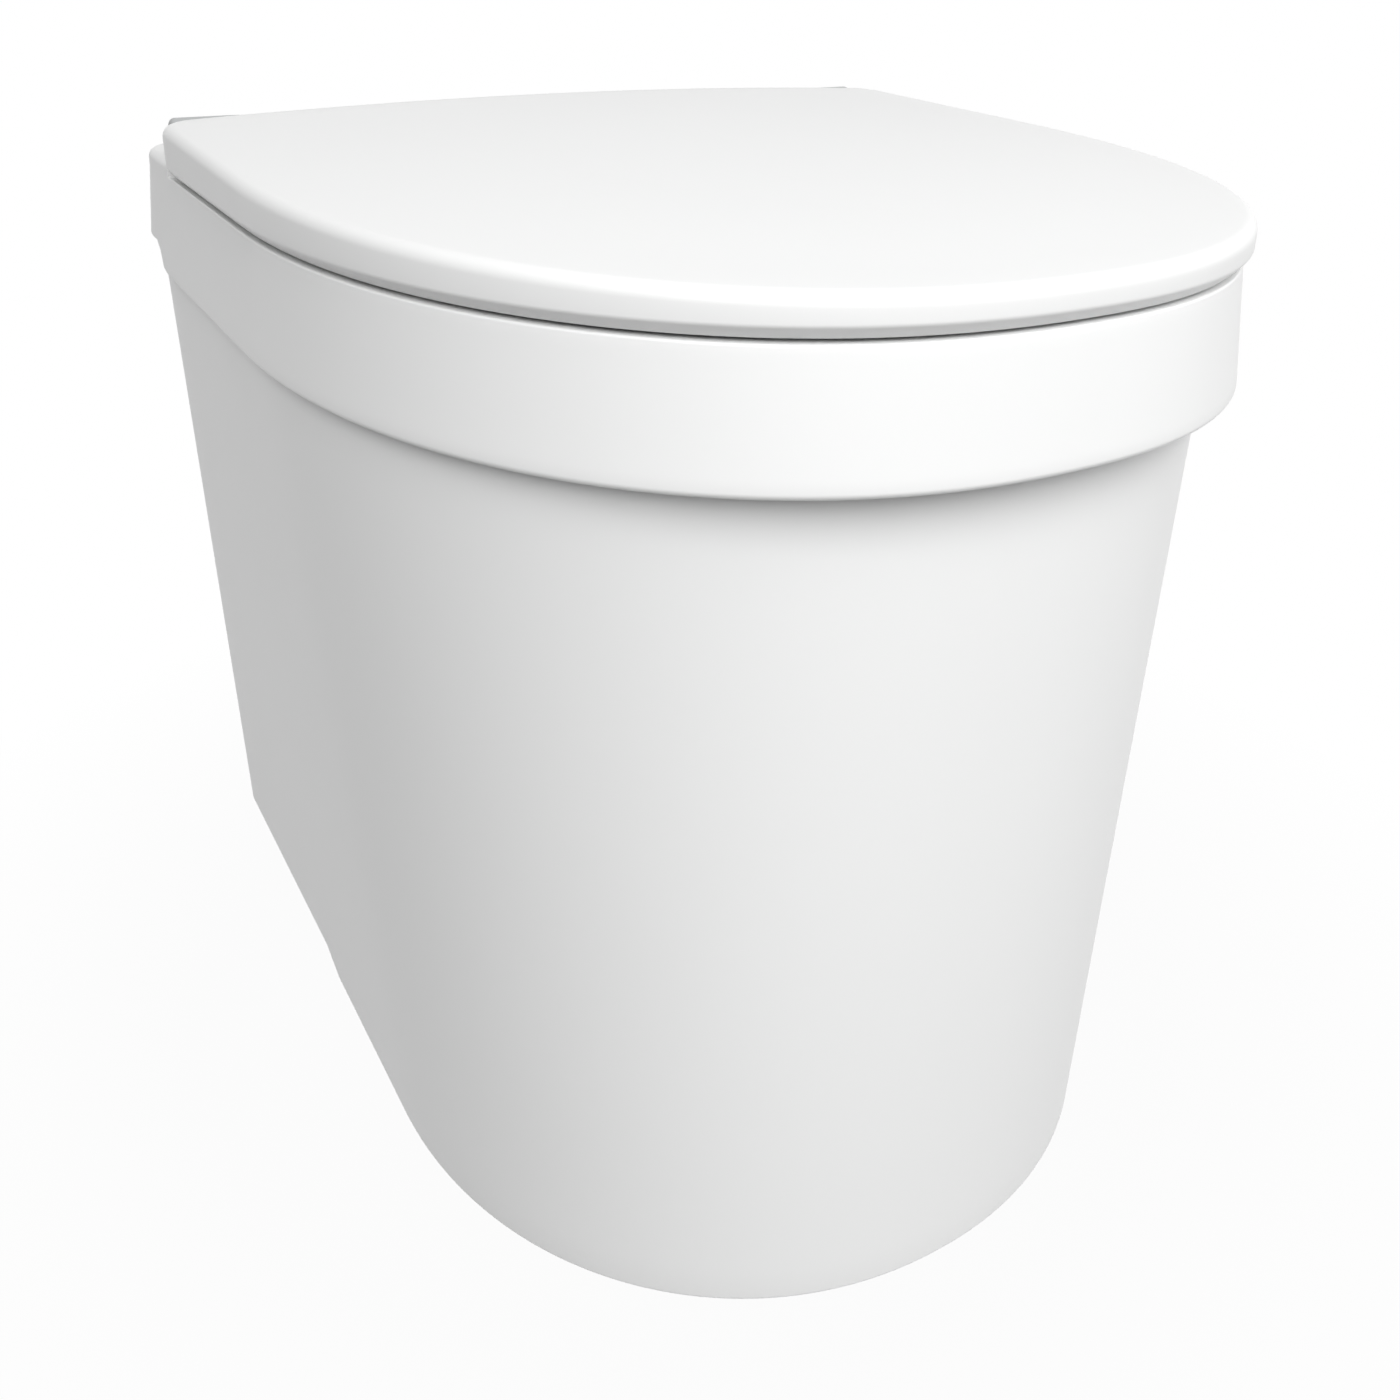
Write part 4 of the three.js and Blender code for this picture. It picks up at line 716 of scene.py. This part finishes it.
under_rear = under[columns_behind]
hollow = np.vstack([under_strip[:1], under_rear, under_strip[-1:]])
button_hole = circle(*BUTTON, 16.4)
window_hole = circle(*WINDOW, 8.3)
shaft_hole = circle(*SHAFT, 5.4)
riser_x = skirt[-1, SIDE_BREAK + 1, 0]
ledge_x = skirt[-1, SIDE_BREAK, 0]


def riser(x0, x1, y, low, high, facing=-1):
    """An upright plate across the toilet, facing the front (-1) or the back (1)."""
    points = np.array([(x0, y, low), (x1, y, low), (x1, y, high), (x0, y, high)], float)
    return points, np.array([[0, 1, 2, 3]] if facing < 0 else [[3, 2, 1, 0]])


def end_fill(side):
    """The small triangle between the riser and the rounded end of the deck."""
    corners = [(ledge_x, COLLAR_TOP), (riser_x, COLLAR_TOP), (riser_x, DECK)]
    points = np.array([(side * x, DECK_FRONT, z) for x, z in corners])
    return points, np.array([[0, 1, 2, 2]] if side < 0 else [[2, 1, 0, 0]])


collar_patches = [
    grid(skirt),
    flat([ledge_loop, recess[0, :, :2], shaft_hole], COLLAR_TOP),
    riser(-riser_x, riser_x, DECK_FRONT, COLLAR_TOP, DECK),
    end_fill(-1),
    end_fill(1),
    flat([deck_loop, button_hole, window_hole], DECK),
    upright(button_hole, (DECK, DECK_UNDER)),
    upright(window_hole, (DECK, DECK_UNDER)),
    upright(shaft_hole, (COLLAR_TOP, STRIP_UNDER)),
    grid(recess),
    flat([recess[-1, :, :2], bowl_hole], RECESS_FLOOR),
    upright(bowl_hole, (RECESS_FLOOR, UNDERSIDE)),
    flat([skirt[0, :, :2], bowl_hole, hollow], UNDERSIDE, -1),
    flat([under_strip, shaft_hole], STRIP_UNDER, -1),
    flat([under_rear, button_hole, window_hole], DECK_UNDER, -1),
    riser(-HOLLOW_HALF, HOLLOW_HALF, RISER_BACK, STRIP_UNDER, DECK_UNDER, 1),
    upright(under_strip[[3, 0, 1]], (STRIP_UNDER, UNDERSIDE)),
    upright(under_rear, (DECK_UNDER, UNDERSIDE)),
]
collar_piece = piece("collar_shell", collar_patches, "collar")
print("collar:", len(collar_piece.data.polygons), "faces")

# %% [markdown]
# The body is a tapering shell. Its outside is ruled: each column runs straight from the outline on
# the floor to the wider outline under the collar, and then turns in to a neck. At the rear the
# lower edge is lifted 9 mm, and in the back wall there is the opening for the cassette, where the
# rows start at its upper edge.


# %% Body
BODY_WALL, BAY_TOP = 3.5, 187.0
FOOT_LIFT, LIFT_FROM, LIFT_RUN = 9.0, -69.6, 11.6


def body_points(z, inset):
    """Floor outline to shoulder outline in a straight line, then shoulder to neck."""
    share = np.clip(z / SKIRT_BOTTOM, 0.0, 1.0)
    x0, y0 = blend_plans(base_plan, shoulder_plan, share, inset, **BODY_BREAKS)
    share = np.clip((z - SKIRT_BOTTOM) / (NECK_TOP - SKIRT_BOTTOM), 0.0, 1.0)
    x1, y1 = d_half(neck_plan, inset, **BODY_BREAKS)
    return whole(x0 + (x1 - x0) * share, y0 + (y1 - y0) * share, z)


def body_surface():
    """Rows from the foot up the outside to the neck, over its rim and down the inside."""
    _, base_y = d_half(base_plan, 0.0, **BODY_BREAKS)
    foot = FOOT_LIFT * np.clip((base_y - LIFT_FROM) / LIFT_RUN, 0.0, 1.0)
    foot = np.where(is_back_middle, BAY_TOP, foot)
    t = np.linspace(0.0, np.pi / 2, 7)[:, None]
    v = np.linspace(0.0, 1.0, 25)[:, None]
    inset, z = stacked(
        (LOWER_EDGE * (1 - np.sin(t)), foot + LOWER_EDGE * (1 - np.cos(t))),
        (0.0 * v, foot + LOWER_EDGE + (SKIRT_BOTTOM - foot - LOWER_EDGE) * v),
        (0.0, SKIRT_BOTTOM + 3.0),
        (0.0, NECK_TOP),
        (BODY_WALL, NECK_TOP),
        (BODY_WALL, SKIRT_BOTTOM),
        (BODY_WALL, foot + 0.01),
    )
    return body_points(z, inset)


body_piece = piece("body_moulding", [grid(body_surface(), round_v=True)], "body_shell")
print("body:", len(body_piece.data.polygons), "faces")

# %% [markdown]
# The seat is a thick ring between the D and an oval hole, with soft shoulders. Its two arms pass
# over the strip to the hinge line. The arms are profiles carried sideways, with eased edges.


# %% Seat
HOLE_Y, HOLE_A, HOLE_B, HOLE_POWER = -217.0, 115.0, 122.0, 2.2
SEAT_UNDER, SEAT_SHOULDER = 401.0, 411.0


def seat_surface():
    """Rows round the section: outer foot, side, shoulder, top, inner shoulder, side and foot. The
    inner rows are the outer ones drawn in along their radius to an oval |x/a|^p + |y/b|^p = 1 about
    the middle of the hole."""
    outer = d_loop(seat_plan, **SEAT_BREAKS)

    def hole(grow, z):
        x, y = outer[:, 0], outer[:, 1] - HOLE_Y
        a, b = HOLE_A + grow, HOLE_B + grow
        reach = (np.abs(x / a) ** HOLE_POWER + np.abs(y / b) ** HOLE_POWER) ** (-1 / HOLE_POWER)
        return at_height(np.column_stack([x * reach, HOLE_Y + y * reach]), z)

    def ring(inset, z):
        return at_height(d_loop(seat_plan, inset, **SEAT_BREAKS), z)

    t = np.linspace(0.0, np.pi / 2, 7)
    rows = [ring(2.0 * (1 - math.sin(a)), SEAT_UNDER + 2.0 * (1 - math.cos(a))) for a in t]
    rows += [ring(6.0 * (1 - math.cos(a)), SEAT_SHOULDER + 6.0 * math.sin(a)) for a in t]
    shoulder, inner = rows[-1], hole(6.5, SEAT_SHOULDER + 5.0)
    for s in (0.25, 0.5, 0.75):
        rows.append(shoulder + (inner - shoulder) * s + (0, 0, 0.3 * math.sin(math.pi * s)))
    rows += [hole(6.5 * (1 - math.sin(a)), SEAT_SHOULDER + 5.0 * math.cos(a)) for a in t]
    rows += [hole(2.0 * (1 - math.cos(a)), SEAT_UNDER + 2.0 - 2.0 * math.sin(a)) for a in t]
    return np.array(rows)


arm = [
    (-84.5, 406.2),
    (-72.5, 411.75),
    (-12.0, 411.75),
    (-1.5, 418.5),
    (AXIS_Y, 425.0),
    (AXIS_Y, AXIS_Z),
    (3.0, 426.0),
    (-12.0, 418.05),
    (-72.5, 416.55),
    (-84.5, 414.0),
]
arm = eased(arm, 2.0, 3, closed=True)
arms = []
for low, high in ((-136.5, -119.5), (119.5, 136.5)):
    arms += prism(arm, low, high, 0.9) + [knuckle(low, high)]
seat_piece = piece("seat_ring", [grid(seat_surface(), round_v=True), *arms], "seat")
print("seat:", len(seat_piece.data.polygons), "faces")

# %% [markdown]
# The bowl narrows from a wide oval to a round outlet that lies nearer the back. The real one is a
# smooth funnel, so the oval's size and place follow smooth curves of the depth, made by rounding
# off a short table.


# %% Bowl
BOWL_STEPS, BOWL_SIDES = 48, 96
BOWL_RIM, OUTLET_TOP, OUTLET_BOTTOM = 398.3, 200.0, 186.0


def smooth_table(down, values):
    """Values of a table at even depths, then averaged with their neighbours six times, the ends
    held."""
    made = np.interp(np.linspace(0.0, 1.0, BOWL_STEPS), down, values)
    for _ in range(6):
        made[1:-1] = 0.25 * made[:-2] + 0.5 * made[1:-1] + 0.25 * made[2:]
    return made


def bowl_wall(by):
    """Ovals from the rim down to the outlet, each grown by the wall's thickness."""
    down = [0.0, 0.12, 0.32, 0.56, 0.78, 1.0]
    size = smooth_table(down, [1.0, 0.985, 0.9, 0.7, 0.36, 0.0])[:, None]
    shift = smooth_table(down, [0.0, 0.02, 0.14, 0.42, 0.78, 1.0])[:, None]
    depth = np.linspace(0.0, 1.0, BOWL_STEPS)[:, None]
    turn = np.linspace(0.0, 2 * np.pi, BOWL_SIDES, endpoint=False)
    a, b, power = 38.0 + 86.0 * size + by, 38.0 + 94.0 * size + by, 2.0 + 0.2 * size
    reach = (np.abs(np.cos(turn) / a) ** power + np.abs(np.sin(turn) / b) ** power) ** (-1 / power)
    z = BOWL_RIM + (OUTLET_TOP - BOWL_RIM) * depth + 0 * turn
    return np.stack([reach * np.cos(turn), BOWL_Y + 80.0 * shift + reach * np.sin(turn), z], -1)


outside, inside = bowl_wall(2.5)[::-1], bowl_wall(0.0)
foot = outside[:1] * (1, 1, 0) + (0, 0, OUTLET_BOTTOM)
outlet = inside[-1:] * (1, 1, 0) + (0, 0, OUTLET_BOTTOM)
flange_rows = [at_height(outside[-1, :, :2], BOWL_RIM - 2.0)]
for a in np.linspace(0.0, np.pi, 7):
    edge = oval(BOWL_Y, 133.5 + math.sin(a), 141.5 + math.sin(a), sides=BOWL_SIDES)
    flange_rows.append(at_height(edge, BOWL_RIM - 1.0 - math.cos(a)))
flange_rows.append(at_height(inside[0, :, :2] * (1.006, 1.0), BOWL_RIM))
bowl_rows = np.concatenate([foot, outside[:-1], np.array(flange_rows), inside[1:], outlet])
lug_plan = [(-10.0, -135.0), (10.0, -135.0), (10.0, -50.0), (-10.0, -50.0)]
lug = prism(lug_plan, 240.0, 248.0, 0.8, "z")
bowl_piece = piece("bowl_funnel", [grid(bowl_rows, round_v=True), *lug], "bowl")
print("bowl:", len(bowl_piece.data.polygons), "faces")

# %% [markdown]
# Two grey covers hide the ends of the hinge pins, and two white posts carry their inner ends. All
# four are the same shape, a cheek with a round top, in two widths. The covers' grey is painted
# shade: it stands for the shade on the strip with a rounded end above the back corner of the lid.


# %% Hinge covers and posts
def cheek(radius, centre):
    """A tombstone in the y-z plane: straight sides and half a circle on top, anticlockwise."""
    foot = DECK + 0.3
    turn = np.linspace(0.0, np.pi, 19)
    arch = np.column_stack([AXIS_Y + radius * np.cos(turn), centre + radius * np.sin(turn)])
    return np.vstack([[(AXIS_Y - radius, foot), (AXIS_Y + radius, foot)], arch])


for label, side in (("left", -1), ("right", 1)):
    low, high = sorted((side * 156.0, side * 190.0))
    # The covers take the grey finish of their slot, which is painted shade over the lid's back
    # corner.
    cover = prism(cheek(8.0, 427.0), low, high, 2.6, steps=6)
    piece(f"cover_{label}", cover, f"hinge_cover_{label}", crease=40)
    low, high = sorted((side * 100.0, side * 118.0))
    post = prism(cheek(7.0, 428.0), low, high, 1.2)
    piece(f"post_{label}", post, f"hinge_post_{label}", crease=40)
print("hinge covers and posts made")

# %% [markdown]
# The controls are turned shapes. The flush button has a dished top for a finger, its bezel a soft
# outer edge, the level window a low dome, and the valve knob a disc with a grip bar across it.


# %% Controls
def turned(*points, ease=0.7):
    """A profile of radius and height with eased corners."""
    return eased(points, ease, 4)


button_profile = turned(
    (0, 405.6), (16.0, 405.6), (16.0, 419.6), (12.5, 419.6), (6.0, 418.7), (0, 418.4), ease=1.0
)
piece("button", [lathe(button_profile, BUTTON)], "flush_button", crease=40)
bezel_profile = turned(
    (16.4, 417.3), (20.9, 417.3), (20.9, 418.7), (16.4, 418.7), (16.4, 417.3), ease=0.5
)
piece("bezel", [lathe(bezel_profile, BUTTON)], "button_bezel", crease=40)
window_profile = turned(
    (0, 411.2), (11.0, 411.2), (11.0, 412.7), (8.0, 412.7), (8.0, 417.1), (5.0, 417.5), (0, 417.6)
)
piece("window", [lathe(window_profile, WINDOW)], "level_window", crease=40)
knob_profile = turned(
    (5.3, 410.65), (20.0, 410.65), (20.0, 414.85), (5.3, 414.85), (5.3, 410.65), ease=0.9
)
grip = eased([(-4.5, -67.0), (4.5, -67.0), (4.5, -33.0), (-4.5, -33.0)], 3.0, 6, closed=True)
knob_parts = [lathe(knob_profile, SHAFT), *prism(grip, 410.8, 423.85, 1.4, "z")]
piece("knob", knob_parts, "valve_knob", crease=40)
print("controls made")

# %% [markdown]
# The rest is inside or below. The CAD solids already have the right form there, with sharp edges. A
# copy of each has its loose triangles welded and its flat faces merged, and then a bevel rounds its
# edges as a mould would.


# %% Softened copies of the plainer solids
def cad_patch(node):
    """The triangles of a CAD node in millimetres, in the drawing's frame."""
    mesh = frame["nodes"][node].data
    mesh.calc_loop_triangles()
    points = np.zeros(3 * len(mesh.vertices), np.float32)
    mesh.vertices.foreach_get("co", points)
    corners = np.zeros(3 * len(mesh.loop_triangles), np.int32)
    mesh.loop_triangles.foreach_get("vertices", corners)
    points = points.reshape(-1, 3).astype(float) / MM - (0.0, SHIFT, 0.0)
    return points, corners.reshape(-1, 3)[:, [0, 1, 2, 2]]


softness = {
    "base_tray": 0.8,
    "rail_left": 0.8,
    "rail_right": 0.8,
    "outlet_sleeve": 0.8,
    "flush_nozzle": 0.5,
    "control_box": 1.6,
    "water_valve": 1.4,
    "inlet_nipple": 0.5,
    "cable_gland": 0.6,
    "collar_screw_1": 0.5,
    "collar_screw_2": 0.5,
    "collar_screw_3": 0.5,
    "collar_screw_4": 0.5,
    "seat_buffer_1": 1.0,
    "seat_buffer_2": 1.0,
    "seat_buffer_3": 1.0,
    "seat_buffer_4": 1.0,
    "lid_buffer_left": 0.8,
    "lid_buffer_right": 0.8,
    "valve_shaft": 0.5,
    "valve_blade": 0.8,
    "cassette_tank": 2.2,
    "valve_housing": 1.6,
    "lip_seal": 1.2,
    "spout": 0.7,
    "spout_ring": 1.0,
    "spout_cap": 1.2,
    "vent_button": 1.2,
    "carry_handle": 0.5,
    "wheel_left": 0.8,
    "wheel_right": 0.8,
    "flush_hose": 0.0,
    "hinge_pin_left": 0.4,
    "hinge_pin_right": 0.4,
    "handle_pin_left": 0.4,
    "handle_pin_right": 0.4,
    "wheel_axle_left": 0.4,
    "wheel_axle_right": 0.4,
}
for node, bevel in softness.items():
    piece(node + "_soft", [cad_patch(node)], node, bevel=bevel, crease=38.0, merge_flat=bevel > 0)
print("softened copies:", len(softness))

# %% [markdown]
# The studio is plain. A pale floor keeps a soft shadow under the toilet and fades to white away
# from it, and the sky that the camera sees is white. Two large soft lamps stand in front and above,
# the stronger one to the left, and a low even light comes from all round, so that the lid and the
# front are bright and the underside of the collar and the foot fall into a gentle shade, as in the
# photograph.


# %% Floor, sky and lamps
AMBIENT = 0.25
FLOOR_Z = -0.0004
FADE_FROM, FADE_TO, FADE_LEAST = 0.25, 0.5, 0.96
LAMP_TARGET, LAMP_SIZE = (0.0, -0.05, 0.25), 1.6


def floor_disc():
    """A flat disc in polar rings, each ring 1.3 times the last, out to about 7 m."""
    radius = np.concatenate([[0.0], 0.05 * 1.3 ** np.arange(20)])[:, None]
    turn = np.linspace(0.0, 2 * np.pi, 64, endpoint=False)
    height = FLOOR_Z + 0 * radius * turn
    points = np.stack([radius * np.cos(turn), radius * np.sin(turn), height], -1)
    points, faces = grid(points)
    mesh = bpy.data.meshes.new("floor")
    mesh.from_pydata(points, [], faces.tolist())
    return mesh


def seen_rays(finish):
    """1 for what the camera, a mirror or a clear piece sees, 0 for light on its way to the
    object."""
    kinds = ("Is Camera Ray", "Is Glossy Ray", "Is Transmission Ray")
    camera, mirror, clear = (finish.node("ShaderNodeLightPath", output=kind) for kind in kinds)
    return camera + mirror + clear


floor_finish = Finish("pale floor")
place = floor_finish.node("ShaderNodeTexCoord", output="Object")
length = {"operation": "LENGTH"}
distance = floor_finish.node("ShaderNodeVectorMath", length, [place], output="Value")
fade_levels = {0: distance, 1: FADE_FROM, 2: FADE_TO, 3: FADE_LEAST, 4: 1.0}
fade = floor_finish.node("ShaderNodeMapRange", {}, fade_levels)
white = {0: (1.0, 1.0, 1.0, 1.0), 1: 1.0}
glow = floor_finish.node("ShaderNodeEmission", {}, white, output="Emission")
paper = floor_finish.shader.outputs["BSDF"]
floor_finish.surface(Base_Color=(0.2, 0.2, 0.2, 1.0), Roughness=0.9)
mixed = {0: seen_rays(floor_finish) * fade, 1: Level(floor_finish, paper), 2: glow}
shown = floor_finish.node("ShaderNodeMixShader", {}, mixed)
floor_finish.put(floor_finish.tree.nodes["Material Output"].inputs["Surface"], shown)
floor = bpy.data.objects.new("floor", floor_disc())
floor.data.materials.append(floor_finish.material)
bpy.context.scene.collection.objects.link(floor)

world = bpy.data.worlds.new("studio")
bpy.context.scene.world = world
world.use_nodes = True


class Sky(Finish):
    """The world's own nodes, used as a finish is."""

    def __init__(self, world):
        self.tree = world.node_tree


sky = Sky(world)
background = sky.tree.nodes["Background"]
sky.put(background.inputs["Color"], (1.0, 1.0, 1.0, 1.0))
sky_levels = {0: seen_rays(sky), 1: 0.0, 2: 1.0, 3: AMBIENT, 4: 1.0}
sky.put(background.inputs["Strength"], sky.node("ShaderNodeMapRange", {}, sky_levels))


def soft_lamp(name, place, target, size, power):
    """A square area lamp at place that faces target."""
    data = bpy.data.lights.new(name, "AREA")
    data.shape, data.size, data.energy = "SQUARE", size, power
    lamp = bpy.data.objects.new(name, data)
    bpy.context.scene.collection.objects.link(lamp)
    lamp.location = place
    lamp.rotation_mode = "QUATERNION"
    lamp.rotation_quaternion = (Vector(place) - Vector(target)).to_track_quat("Z", "Y")
    return lamp


soft_lamp("front left", (-0.84, -1.85, 1.92), LAMP_TARGET, LAMP_SIZE, 52.0)
soft_lamp("front right", (1.0, -1.77, 1.92), LAMP_TARGET, LAMP_SIZE, 21.0)
print("studio ready")
